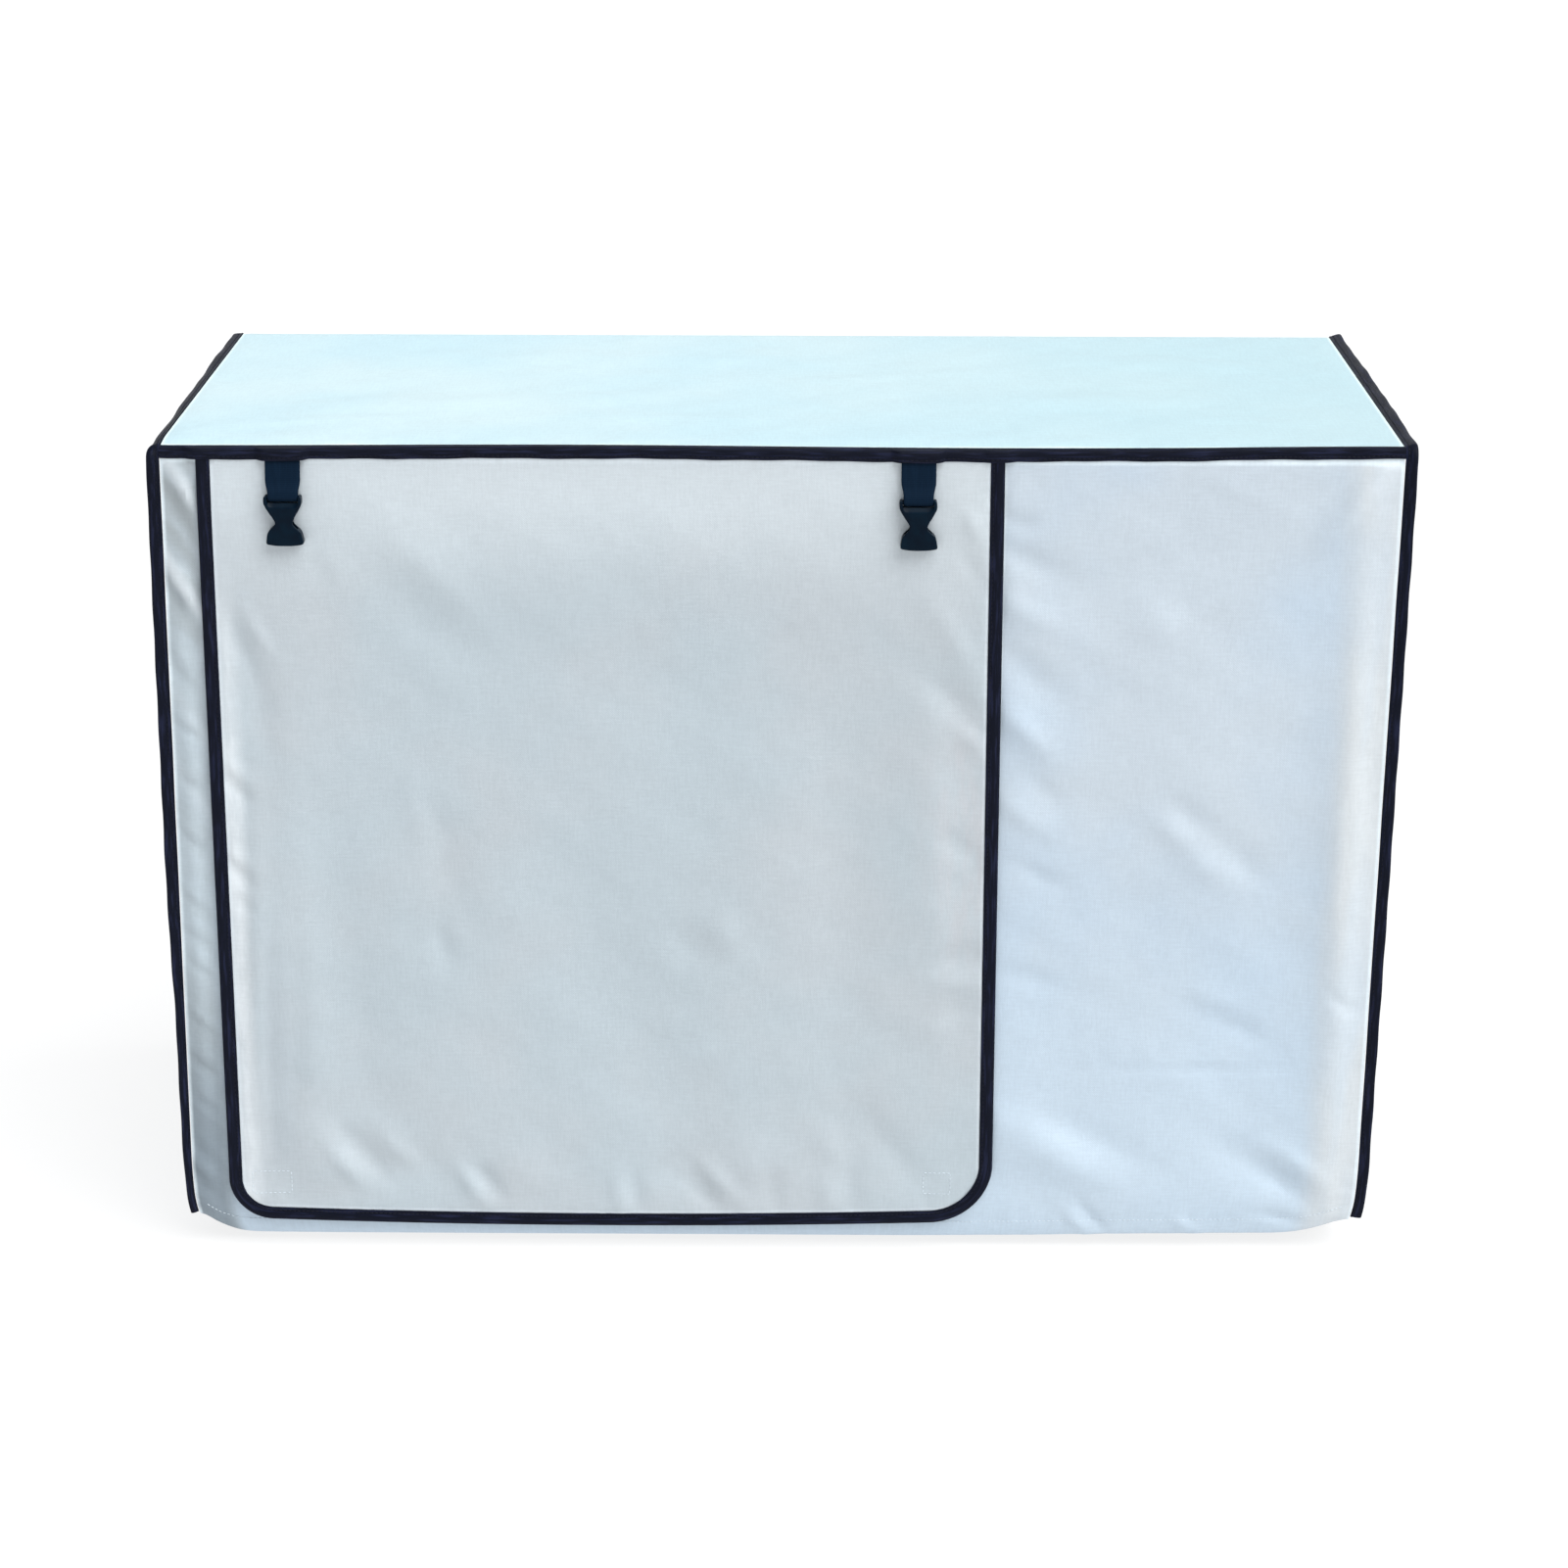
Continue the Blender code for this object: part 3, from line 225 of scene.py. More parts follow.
FLAP_CREASES = (
    (-0.3681, -0.1464, 0.0226, 0.0060, -68, -0.0014), (-0.3586, -0.1295, 0.0191, 0.0050, -61, 0.0010),
    (-0.3787, -0.2421, 0.0125, 0.0045, -48, -0.0014), (-0.3781, -0.2285, 0.0139, 0.0050, -46, 0.0009),
    (-0.3790, -0.3059, 0.0108, 0.0045, -37, -0.0014), (-0.3784, -0.2927, 0.0108, 0.0040, -37, 0.0009),
    (-0.3766, -0.3285, 0.0092, 0.0040, -28, -0.0010), (-0.3611, -0.1851, 0.0249, 0.0100, -85, -0.0012),
    (-0.3699, -0.3945, 0.1345, 0.0080, 88, 0.0018), (-0.3465, -0.4418, 0.0870, 0.0090, 88, -0.0018),
    (-0.2979, -0.5200, 0.0246, 0.0070, -49, -0.0018), (-0.3131, -0.5278, 0.0218, 0.0060, -54, 0.0014),
    (-0.2759, -0.5141, 0.0238, 0.0070, -49, 0.0012), (-0.2103, -0.5396, 0.0158, 0.0060, -56, -0.0018),
    (-0.2231, -0.5428, 0.0151, 0.0050, -60, 0.0014), (-0.1044, -0.5491, 0.0156, 0.0060, -83, -0.0013),
    (-0.1171, -0.5484, 0.0164, 0.0060, -83, 0.0010), (-0.0584, -0.5450, 0.0205, 0.0060, -52, -0.0018),
    (-0.0442, -0.5387, 0.0214, 0.0060, -49, 0.0013), (-0.0061, -0.5435, 0.0206, 0.0070, -86, -0.0011),
    (0.0518, -0.5413, 0.0225, 0.0070, -86, -0.0011), (0.0335, -0.5452, 0.0187, 0.0070, -85, 0.0009),
    (-0.2383, -0.3563, 0.0170, 0.0070, -78, -0.0012), (-0.2357, -0.2922, 0.0413, 0.0140, -75, -0.0012),
    (-0.2527, -0.2632, 0.0265, 0.0100, -72, 0.0010), (-0.0636, -0.3591, 0.0165, 0.0140, -51, -0.0013),
    (-0.0394, -0.3460, 0.0179, 0.0120, -55, 0.0010), (-0.3099, -0.0773, 0.0164, 0.0070, -62, 0.0012),
    (-0.2557, -0.1042, 0.0496, 0.0160, -44, -0.0010), (-0.2335, -0.0902, 0.0484, 0.0120, -45, 0.0009),
    (0.1287, -0.0516, 0.0129, 0.0060, -58, 0.0014), (0.1252, -0.0790, 0.0145, 0.0060, -49, -0.0011),
    (0.1206, -0.1373, 0.0319, 0.0100, -61, 0.0014), (0.1179, -0.1766, 0.0262, 0.0090, -44, -0.0012),
    (0.1309, -0.2051, 0.0121, 0.0060, -42, 0.0010), (0.1242, -0.2831, 0.0181, 0.0080, -37, -0.0010),
    (0.1239, -0.3655, 0.0163, 0.0080, 26, -0.0015), (0.1253, -0.3844, 0.0140, 0.0060, 9, 0.0010),
    (0.1270, -0.4061, 0.0145, 0.0080, 31, -0.0015), (0.0763, -0.5092, 0.0441, 0.0120, -55, -0.0012),
    (0.0425, -0.5209, 0.0379, 0.0110, -59, 0.0010),
)
TOP_CREASES = (
    (-0.330, -0.120, 0.060, 0.010, 12, 0.0010), (-0.060, -0.110, 0.070, 0.012, -6, 0.0010),
    (0.080, 0.030, 0.060, 0.011, 16, 0.0009), (0.320, -0.110, 0.050, 0.010, -10, 0.0010),
)
BACK_CREASES = (
    (-0.330, -0.200, 0.080, 0.014, 118, -0.0012), (-0.270, -0.420, 0.090, 0.014, 80, 0.0013),
    (-0.090, -0.180, 0.080, 0.016, 66, 0.0012), (-0.080, -0.460, 0.070, 0.012, 102, -0.0012),
    (0.120, -0.250, 0.100, 0.014, 84, 0.0012), (0.170, -0.480, 0.060, 0.012, 70, 0.0012),
    (0.330, -0.400, 0.090, 0.012, 100, -0.0013), (0.370, -0.220, 0.060, 0.010, 58, 0.0011),
)
SIDE_CREASES = (
    (-0.150, -0.160, 0.050, 0.009, 56, 0.0012), (-0.140, -0.380, 0.050, 0.009, 112, -0.0012),
    (-0.030, -0.130, 0.060, 0.012, 70, -0.0010), (0.060, -0.450, 0.060, 0.010, 96, 0.0012),
    (0.150, -0.320, 0.060, 0.009, 118, 0.0012), (0.155, -0.480, 0.040, 0.008, 60, -0.0010),
)

# Slow waves that no flat cloth is without: wave length, direction in degrees, phase, share
CLOTH_WAVES = (
    (0.093, 17, 0.3, 1.0),
    (0.071, 74, 1.9, 0.8),
    (0.052, 131, 4.1, 0.6),
    (0.037, 52, 2.6, 0.4),
    (0.029, 108, 0.9, 0.3),
    (0.021, 3, 5.2, 0.2),
)
WAVE_HEIGHT = 0.00022
PUCKER_HEIGHT = 0.00042
PUCKER_REACH = 0.0075
PUCKERS, FINER_PUCKERS, PUCKER_SWELLS = 410, 655, 47
HEM_PUCKER_SHARE, HEM_PUCKER_REACH = 0.8, 0.0060
STITCH_GROOVE, STITCH_GROOVE_WIDTH = 0.00022, 0.0012
FRONT_RELIEF = (-0.0030, 0.0044)
FLAP_TROUGH = -0.0026
FLAP_FLAT_AT_TOP = -0.012
STRAP_PRESSES_BESIDE, STRAP_PRESSES_TO_Z = 0.016, -0.078
FADE = 0.03
SEAM_SEEN = 0.03


def ease(share):
    """A smooth step from 0 to 1."""
    share = np.clip(share, 0.0, 1.0)
    return share * share * (3 - 2 * share)


def folded(folds, across, up):
    """The height of a set of folds at points of their panel."""
    total = 0.0
    for middle_across, middle_up, length, width, turn, height in folds:
        cosine, sine = math.cos(math.radians(turn)), math.sin(math.radians(turn))
        right, above = across - middle_across, up - middle_up
        along = (right * cosine + above * sine) / length
        aside = (above * cosine - right * sine) / width
        total = total + height * np.exp(-(along * along) - aside * aside)
    return total


def waved(across, up, phase=0.0):
    """The slow waves of a hanging sheet."""
    total = 0.0
    for length, turn, start, share in CLOTH_WAVES:
        way = across * math.cos(math.radians(turn)) + up * math.sin(math.radians(turn))
        total = total + share * np.sin(2 * math.pi * way / length + start + phase)
    return WAVE_HEIGHT * total


def crumpled(across, up, size, start):
    """Broken ridges where the cloth was once folded and packed, about 1 high at most."""
    across = across + 0.25 * size * np.sin(up * 5.1 / size + start)
    up = up + 0.25 * size * np.sin(across * 4.3 / size + 2 * start)
    x, y = across / size + start, up / size - start
    left, low = np.floor(x), np.floor(y)
    total = 0.0
    for dx in (0, 1):
        for dy in (0, 1):
            turn = np.sin((left + dx) * 127.1 + (low + dy) * 311.7 + start) * 43758.5453
            turn = 2 * math.pi * (turn - np.floor(turn))
            right, above = x - left - dx, y - low - dy
            weight = (1 - ease(np.abs(right))) * (1 - ease(np.abs(above)))
            total = total + weight * (right * np.cos(turn) + above * np.sin(turn))
    return 1 - 2.6 * np.sqrt(total * total + 0.0036)


def puckered(along, distance, phase=0.0, reach=PUCKER_REACH):
    """Short waves where a seam gathers the cloth. They die out away from it."""
    wave = np.sin(along * PUCKERS + phase) + 0.7 * np.sin(along * FINER_PUCKERS + 2 * phase + 1.1)
    strength = 0.65 + 0.35 * np.sin(along * PUCKER_SWELLS + 3 * phase)
    near = np.exp(-np.maximum(distance, 0.0) / reach)
    return PUCKER_HEIGHT * wave * strength * near


def drawn_in(z):
    share = np.maximum(0.0, (-z - (HEIGHT - TURN_HEIGHT)) / TURN_HEIGHT)
    return DRAW_IN * share * share


def corner_drawn_in(z):
    share = np.maximum(0.0, (-z - (HEIGHT - CORNER_TURN_HEIGHT)) / CORNER_TURN_HEIGHT)
    return CORNER_DRAW * share * share


def lean(z):
    return LEAN * z / HEIGHT


def hem_z(from_corner, x):
    """The lowest point of the cloth at this distance from the nearest corner."""
    x = np.asarray(x, float)
    lift = np.where(x < 0, LEFT_LIFT, RIGHT_LIFT)
    reach = np.where(x < 0, LEFT_LIFT_REACH, RIGHT_LIFT_REACH)
    rise = HEM_RISE * ease((x - HEM_RISE_FROM) / HEM_RISE_OVER)
    return -HEIGHT + rise + lift * np.exp(-((from_corner / reach) ** 2))


def top_dip(x, y):
    """How far the top lies below its own level towards the front seam."""
    near = np.maximum(0.0, 1 - (y - FRONT_Y) / DIP_REACH)
    swing = DIP_SWING * np.cos(2 * math.pi * (x + WIDTH / 2) / DIP_WAVE)
    ends = 1 - 0.85 * ease((x - DIP_ENDS_FROM) / DIP_ENDS_OVER)
    return (DIP + swing) * ends * near * near


def half_width(z):
    return WIDTH / 2 - drawn_in(z) - corner_drawn_in(z)


def half_depth(z):
    return DEPTH / 2 - drawn_in(z) - corner_drawn_in(z)


def corner_pull(from_corner, z):
    return corner_drawn_in(z) * np.exp(-from_corner / CORNER_REACH)


def stand(z):
    """How far the back of the flap stands in front of the front panel."""
    share = np.clip((STAND_FROM_Z - z) / (STAND_FROM_Z - STAND_TO_Z), 0.0, 1.0)
    return STAND_AT_SEAM + (STAND_BELOW - STAND_AT_SEAM) * share


def flap_half(z):
    return FLAP_HALF_TOP + (FLAP_HALF_BOTTOM - FLAP_HALF_TOP) * (-z / HEIGHT)


def point(x, y, z):
    """Points from three arrays."""
    return np.stack(np.broadcast_arrays(x, y, z), -1)


# The panels. Each takes how far along and how far up its cloth the points are


def front_points(u, z):
    x = u * WIDTH / 2
    from_seam = np.minimum(WIDTH / 2 - np.abs(x), -z)
    beside_flap = ease((np.abs(x - FLAP_MIDDLE_X) - flap_half(z) + 0.004) / 0.012)
    coarse = ease((from_seam - 0.0075) / 0.010) * beside_flap * folded(FRONT_FOLDS, x, z)
    crumple = 0.00050 * crumpled(x, z, 0.085, 1.7) + 0.00022 * crumpled(x, z, 0.036, 4.4)
    crumple = crumple + np.where(x < 0, 0.0006 * crumpled(x, z, 0.024, 7.1), 0.0)
    fine = FRONT_PRESSED * folded(FRONT_CREASES, x, z) + waved(x, z) + crumple
    fine = fine + puckered(z, WIDTH / 2 - np.abs(x), 0.8 * np.sign(x))
    fine = fine * beside_flap * ease((from_seam - 0.0005) / 0.005) * ease((0.002 - z - TAPE_LOW) / 0.006)
    hem = hem_z(WIDTH / 2 - np.abs(x), x) + HEM_DEPTH
    fine = fine + hem_pucker(x, z, hem, 0.0)
    relief = coarse + np.clip(fine, *FRONT_RELIEF)
    y = FRONT_Y + drawn_in(z) + corner_pull(WIDTH / 2 - np.abs(x), z) - relief
    return point(u * half_width(z) + lean(z), y, z)


def hem_pucker(along, z, hem, phase):
    """The hem's stitch line: a groove, with puckers above and below it."""
    distance = np.abs(z - hem)
    groove = -STITCH_GROOVE * np.exp(-((distance / STITCH_GROOVE_WIDTH) ** 2))
    return groove + HEM_PUCKER_SHARE * puckered(along, distance, phase, HEM_PUCKER_REACH)


def back_points(u, z):
    x = u * WIDTH / 2
    from_corner = WIDTH / 2 - np.abs(x)
    from_edge = np.minimum(from_corner, -z - BACK_FOLD_RADIUS)
    coarse = ease(from_edge / 0.05) * folded(BACK_FOLDS, x, z)
    crumple = 0.0012 * crumpled(x, z, 0.120, 3.2) + 0.00045 * crumpled(x, z, 0.046, 6.5)
    fine = BACK_PRESSED * folded(BACK_CREASES, x, z) + waved(x, z, 1.7) + crumple
    fine = fine + puckered(z, from_corner, 2.4)
    fine = fine * ease((from_edge - 0.002) / 0.010)
    hem = hem_z(from_corner, x) + HEM_DEPTH
    relief = coarse + fine + hem_pucker(x, z, hem, 2.2)
    y = -FRONT_Y - drawn_in(z) - corner_pull(from_corner, z) + relief
    return point(u * half_width(z) + lean(z), y, z)


def side_points(side, v, z):
    reach = half_depth(z) - CLOTH - HEM_EXTRA - GAP
    y = v * DEPTH / 2
    from_corner = DEPTH / 2 - np.abs(y)
    from_edge = np.minimum(from_corner, -z)
    coarse = ease(from_edge / 0.05) * folded(SIDE_FOLDS, y, z)
    crumple = 0.0011 * crumpled(y, z, 0.100, 5 + side) + 0.0004 * crumpled(y, z, 0.040, 9 + side)
    fine = SIDE_PRESSED * folded(SIDE_CREASES, side * y, z) + waved(y, z, 3.1 + side) + crumple
    fine = fine + puckered(z, from_corner, 1.3 * side)
    fine = fine * ease((from_edge - 0.002) / 0.010)
    hem = hem_z(from_corner, side * WIDTH / 2) + HEM_DEPTH
    relief = coarse + fine + hem_pucker(y, z, hem, 4.0 + side)
    x = WIDTH / 2 - drawn_in(z) - corner_pull(from_corner, z) + relief
    return point(side * x + lean(z), v * reach, z)


def flap_bottom_z(x, inset=0.0):
    """The flap's lower outline, with its sag and its two rounded corners."""
    half = flap_half(FLAP_BOTTOM) - inset
    share = (x - FLAP_MIDDLE_X) / half
    z = FLAP_BOTTOM - FLAP_SAG * (1 - share * share) + inset
    radius = np.where(share > 0, FLAP_RADIUS_RIGHT, FLAP_RADIUS_LEFT) - inset
    past = np.clip(radius - half * (1 - np.abs(share)), 0.0, radius)
    return z + np.where(past > 0, radius - np.sqrt(radius**2 - past**2), 0.0)


def flap_front(x, z):
    """The y of the flap's outer face, with every fold and crease."""
    from_side = flap_half(z) - np.abs(x - FLAP_MIDDLE_X)
    from_edge = np.minimum(from_side, z - FLAP_BOTTOM)
    below_top = ease((FLAP_FLAT_AT_TOP - z) / FADE)
    for strap_x in STRAP_X:
        beside = ease((np.abs(x - strap_x) - STRAP_PRESSES_BESIDE) / FADE)
        below_top = below_top * np.maximum(beside, ease((STRAP_PRESSES_TO_Z - z) / FADE))
    coarse = ease((from_edge - 0.013) / FADE) * below_top * folded(FLAP_FOLDS, x, z)
    crumple = 0.00042 * crumpled(x, z, 0.090, 2.3) + 0.00022 * crumpled(x, z, 0.040, 8.8)
    fine = FLAP_PRESSED * folded(FLAP_CREASES, x, z) + waved(x, z, 0.6) + crumple
    fine = fine + puckered(z, from_side - BINDING_WIDTH, 2.0 + np.sign(x - FLAP_MIDDLE_X))
    low = z - flap_bottom_z(x)
    fine = fine + puckered(x, low - BINDING_WIDTH, 5.0)
    in_binding = np.minimum(from_side, low) - BINDING_WIDTH
    fine = fine * ease(in_binding / 0.006 + 0.3) * below_top
    return FRONT_Y - stand(z) - CLOTH - np.maximum(coarse + fine, FLAP_TROUGH)


# Meshes


def made_object(name, points, faces, finish, place=None, sharp=35):
    """One object, with its faces turned outwards. place says where on its cloth each point is."""
    mesh = bpy.data.meshes.new(name)
    mesh.from_pydata(np.asarray(points, float).tolist(), [], [list(map(int, f)) for f in faces])
    work = bmesh.new()
    work.from_mesh(mesh)
    bmesh.ops.recalc_face_normals(work, faces=work.faces)
    work.to_mesh(mesh)
    work.free()
    mesh.shade_smooth()
    mesh.set_sharp_from_angle(angle=math.radians(sharp))
    if place is not None:
        spot = mesh.attributes.new("cloth_place", "FLOAT_VECTOR", "POINT")
        spot.data.foreach_set("vector", np.asarray(place, np.float32).ravel())
    mesh.materials.append(finish)
    made = bpy.data.objects.new(name, mesh)
    bpy.context.scene.collection.objects.link(made)
    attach(made, "root")
    return made


def cloth_sheet(name, outside, inside, place, from_seam, finish, keep=None):
    """A closed sheet between two grids of points of shape columns, rows, 3."""
    columns, rows = outside.shape[:2]
    back = columns * rows
    index = np.arange(back).reshape(columns, rows)
    quads = np.stack([index[:-1, :-1], index[1:, :-1], index[1:, 1:], index[:-1, 1:]], -1)
    quads = quads.reshape(-1, 4) if keep is None else quads[keep]
    edges = np.concatenate([quads[:, [k, (k + 1) % 4]] for k in range(4)])
    ahead = edges[:, 0] * back + edges[:, 1]
    behind = edges[:, 1] * back + edges[:, 0]
    rim = edges[~np.isin(ahead, behind)]
    walls = np.stack([rim[:, 1], rim[:, 0], rim[:, 0] + back, rim[:, 1] + back], -1)
    faces = np.concatenate([quads, quads[:, ::-1] + back, walls])
    used, faces = np.unique(faces, return_inverse=True)
    points = np.concatenate([outside.reshape(-1, 3), inside.reshape(-1, 3)])[used]
    spot = np.concatenate([place.reshape(-1, 2)] * 2)[used]
    # How far each point is from a seam, for the finish's painted highlight rim along seams.
    reach = np.clip(np.broadcast_to(from_seam, place.shape[:2]), 0.0, SEAM_SEEN).ravel()
    spot = np.column_stack([spot, np.concatenate([reach] * 2)[used]])
    return made_object(name, points, faces.reshape(-1, 4), finish, spot)


def swept(name, rings, finish, along, around, sharp=35):
    """A bar through rings of as many points each, closed at both ends."""
    count, sides = rings.shape[:2]
    index = np.arange(count * sides).reshape(count, sides)
    turn = np.roll(index, -1, axis=1)
    quads = np.stack([index[:-1], turn[:-1], turn[1:], index[1:]], -1).reshape(-1, 4)
    faces = [list(f) for f in quads] + [list(index[0]), list(index[-1][::-1])]
    first, second = np.broadcast_arrays(np.asarray(around)[None, :], np.asarray(along)[:, None])
    spot = np.stack([first, second, np.zeros(first.shape)], -1).reshape(-1, 3)
    return made_object(name, rings.reshape(-1, 3), faces, finish, spot, sharp)


def steps(start, end, size):
    """Values from start to end, as near size apart as comes out even."""
    return np.linspace(start, end, max(2, round(abs(end - start) / size) + 1))


def joined(*parts):
    """Several runs of values as one, without repeats where they meet."""
    return np.concatenate([parts[0]] + [part[1:] for part in parts[1:]])


def quarter_turned(runs):
    """Unit directions a quarter turn from each run of a flat line."""
    runs = runs / np.linalg.norm(runs, axis=1)[:, None]
    return np.stack([-runs[:, 1], runs[:, 0]], -1)


def lengths_along(points):
    """How far along a line each of its points is."""
    gaps = np.linalg.norm(np.diff(points, axis=0), axis=1)
    return np.concatenate([[0.0], np.cumsum(gaps)])


STITCH = 0.0024
STITCH_PITCH = 0.0033
THREAD = 0.00022
THREAD_SIDES = 5
THREAD_SHOULDER, THREAD_RAISED, THREAD_FLATTENED = 0.28, 0.7, 1.15
STITCH_TIP = 0.0001


def stitched(name, runs, finish):
    """A seam's stitches, each a short thread that dips into the cloth at both ends. A run is a
    line of points on the cloth and the way out of the cloth at each of them."""
    points, faces = [], []
    sides = THREAD_SIDES
    for line, outwards in runs:
        line = np.asarray(line, float)
        outwards = np.broadcast_to(np.asarray(outwards, float), line.shape)
        travelled = lengths_along(line)
        count = int((travelled[-1] - STITCH) / STITCH_PITCH)
        spare = travelled[-1] - count * STITCH_PITCH - STITCH

        def spot_at(values, length):
            return Vector([np.interp(length, travelled, values[:, k]) for k in range(3)])

        for n in range(count + 1):
            start = n * STITCH_PITCH + spare / 2
            first, last = spot_at(line, start), spot_at(line, start + STITCH)
            middle = spot_at(line, start + STITCH / 2)
            out = spot_at(outwards, start + STITCH / 2).normalized()
            run = (last - first).normalized()
            sideways = run.cross(out)
            base = len(points)
            points.append(first - out * STITCH_TIP)
            for share in (-THREAD_SHOULDER, THREAD_SHOULDER):
                for k in range(sides):
                    angle = 2 * math.pi * k / sides
                    ring = out * (math.sin(angle) + THREAD_RAISED)
                    ring += sideways * math.cos(angle) * THREAD_FLATTENED
                    points.append(middle + run * share * STITCH + ring * THREAD)
            points.append(last - out * STITCH_TIP)
            for k in range(sides):
                n1, n2 = base + 1 + k, base + 1 + (k + 1) % sides
                faces.append((base, n1, n2))
                faces.append((n1, n1 + sides, n2 + sides, n2))
                faces.append((base + 1 + 2 * sides, n2 + sides, n1 + sides))
    return made_object(name, points, faces, finish, sharp=80)


# Materials: shader maths as Python


class Spot:
    """A value, colour or vector that varies over a finish."""

    def __init__(self, finish, socket):
        self.finish = finish
        self.socket = socket

    def maths(self, operation, *others):
        return self.finish.add("ShaderNodeMath", {"operation": operation}, *others)

    def __add__(self, other):
        return self.maths("ADD", self, other)

    def __sub__(self, other):
        return self.maths("SUBTRACT", self, other)

    def __rsub__(self, other):
        return self.maths("SUBTRACT", other, self)

    def __mul__(self, other):
        return self.maths("MULTIPLY", self, other)

    def __truediv__(self, other):
        return self.maths("DIVIDE", self, other)

    def __pow__(self, other):
        return self.maths("POWER", self, other)

    __radd__ = __add__
    __rmul__ = __mul__

    def sine(self):
        return self.maths("SINE", self)

    def size(self):
        return self.maths("ABSOLUTE", self)

    def between(self, low, high):
        """0 below low and 1 above high, smoothly."""
        return self.finish.add(
            "ShaderNodeMapRange", {"interpolation_type": "SMOOTHSTEP"}, self, low, high, 0.0, 1.0
        )


class Finish:
    """The nodes of a material, or of the sky."""

    def __init__(self, owner):
        owner.use_nodes = True
        self.owner = owner
        self.tree = owner.node_tree

    def add(self, kind, settings, *values, output=0, **named):
        """A node with its settings first, then its sockets in order or by name."""
        node = self.tree.nodes.new(kind)
        for key, value in settings.items():
            if key == "stops":
                ramp = node.color_ramp
                ramp.elements.remove(ramp.elements[0])
                for n, (place, colour) in enumerate(value):
                    element = ramp.elements[0] if n == 0 else ramp.elements.new(place)
                    element.position = place
                    element.color = (*colour, 1.0)
            else:
                setattr(node, key, value)
        for place, value in [*enumerate(values), *named.items()]:
            self.feed(node.inputs[place], value)
        return Spot(self, node.outputs[output])

    def feed(self, socket, value):
        if isinstance(value, Spot):
            self.tree.links.new(value.socket, socket)
        elif value is not None:
            socket.default_value = value

    def mixed(self, share, first, second):
        """A colour between two colours."""
        mix = self.tree.nodes.new("ShaderNodeMix")
        mix.data_type = "RGBA"
        for place, value in ((0, share), (6, first), (7, second)):
            self.feed(mix.inputs[place], (*value, 1.0) if isinstance(value, tuple) else value)
        return Spot(self, mix.outputs[2])

    def cloth_place(self):
        """Where on its own cloth a point is: across, up, away from a seam, and all as a vector."""
        place = self.add("ShaderNodeAttribute", {"attribute_name": "cloth_place"}, output=1)
        across = self.add("ShaderNodeSeparateXYZ", {}, place)
        up = Spot(self, across.socket.node.outputs[1])
        from_seam = Spot(self, across.socket.node.outputs[2])
        return across, up, from_seam, place

    def scaled(self, colour, share):
        """A colour times a value."""
        return self.add("ShaderNodeVectorMath", {"operation": "SCALE"}, colour, Scale=share)

    def stretched(self, place, scale):
        return self.add("ShaderNodeVectorMath", {"operation": "MULTIPLY"}, place, scale)

    def turned(self, place, degrees):
        return self.add(
            "ShaderNodeVectorRotate", {"rotation_type": "Z_AXIS"}, Vector=place, Angle=math.radians(degrees)
        )

    def noise(self, place, scale, detail=2.0, roughness=0.5):
        return self.add(
            "ShaderNodeTexNoise", {}, Vector=place, Scale=scale, Detail=detail, Roughness=roughness
        )

    def bumped(self, height, distance, strength=1.0, under=None):
        return self.add(
            "ShaderNodeBump", {}, Height=height, Distance=distance, Strength=strength, Normal=under
        )

    def done(self, shader="Principled BSDF", **sockets):
        """Feeds the closing shader, and gives back what the nodes belong to."""
        for name, value in sockets.items():
            self.feed(self.tree.nodes[shader].inputs[name.replace("_", " ")], value)
        return self.owner


def silver_cloth(name, cool, warm, patches, toned=None, metallic=0.22, roughness=0.40):
    """Coated oxford cloth: a close plain weave, satin, cooler and warmer in patches, with a paler rim along
    each seam that is a painted highlight.
    """
    finish = Finish(bpy.data.materials.new(name))
    across, up, from_seam, place = finish.cloth_place()
    long_threads = finish.noise(finish.stretched(place, (70.0, 620.0, 1.0)), 1.0, 3.0, 0.65)
    cross_threads = finish.noise(finish.stretched(place, (620.0, 70.0, 1.0)), 1.0, 3.0, 0.65)
    slub = finish.noise(place, 160.0, 3.0, 0.6)
    warp = (across * (math.pi / 0.00080) + slub * 1.6).sine()
    weft = (up * (math.pi / 0.00075) + slub * 1.3).sine()
    weave = warp * weft
    shift = finish.noise(place, patches, 3.0, 0.55).between(0.36, 0.66)
    colour = finish.mixed(shift, cool, warm)
    # The panel's painted light and shade, where it has them.
    if toned:
        colour = toned(finish, across, up, place, colour)
    # A paler rim along each seam, broken by noise: a painted highlight where the cloth beside the seam
    # catches light.
    seam_rim_highlight = (1 - from_seam.between(0.0003, 0.0030)) * (0.35 + finish.noise(place, 60.0) * 0.75)
    colour = finish.mixed(seam_rim_highlight, colour, tuple(min(0.92, 1.50 * c) for c in warm))
    worn = finish.noise(place, 420.0, 4.0, 0.7).between(0.30, 0.75)
    threads = (long_threads + cross_threads).between(0.80, 1.20)
    shade = 1 - worn * 0.035 - threads * 0.055 - weave.between(-0.9, 0.9) * 0.012
    shade = finish.scaled(colour, shade)
    rough = roughness + finish.noise(place, 55.0, 3.0, 0.6) * 0.16
    crumple = finish.noise(place, 70.0, 4.0, 0.6)
    soft = finish.bumped(crumple, 0.0006, 0.35)
    woven = finish.bumped(long_threads + cross_threads, 0.00012, 0.8, soft)
    normal = finish.bumped(weave + slub * 0.6, 0.00006, 0.40, woven)
    return finish.done(
        Base_Color=shade, Roughness=rough, Metallic=metallic, Normal=normal,
        Sheen_Weight=0.12, Sheen_Roughness=0.4, Specular_IOR_Level=0.5,
    )


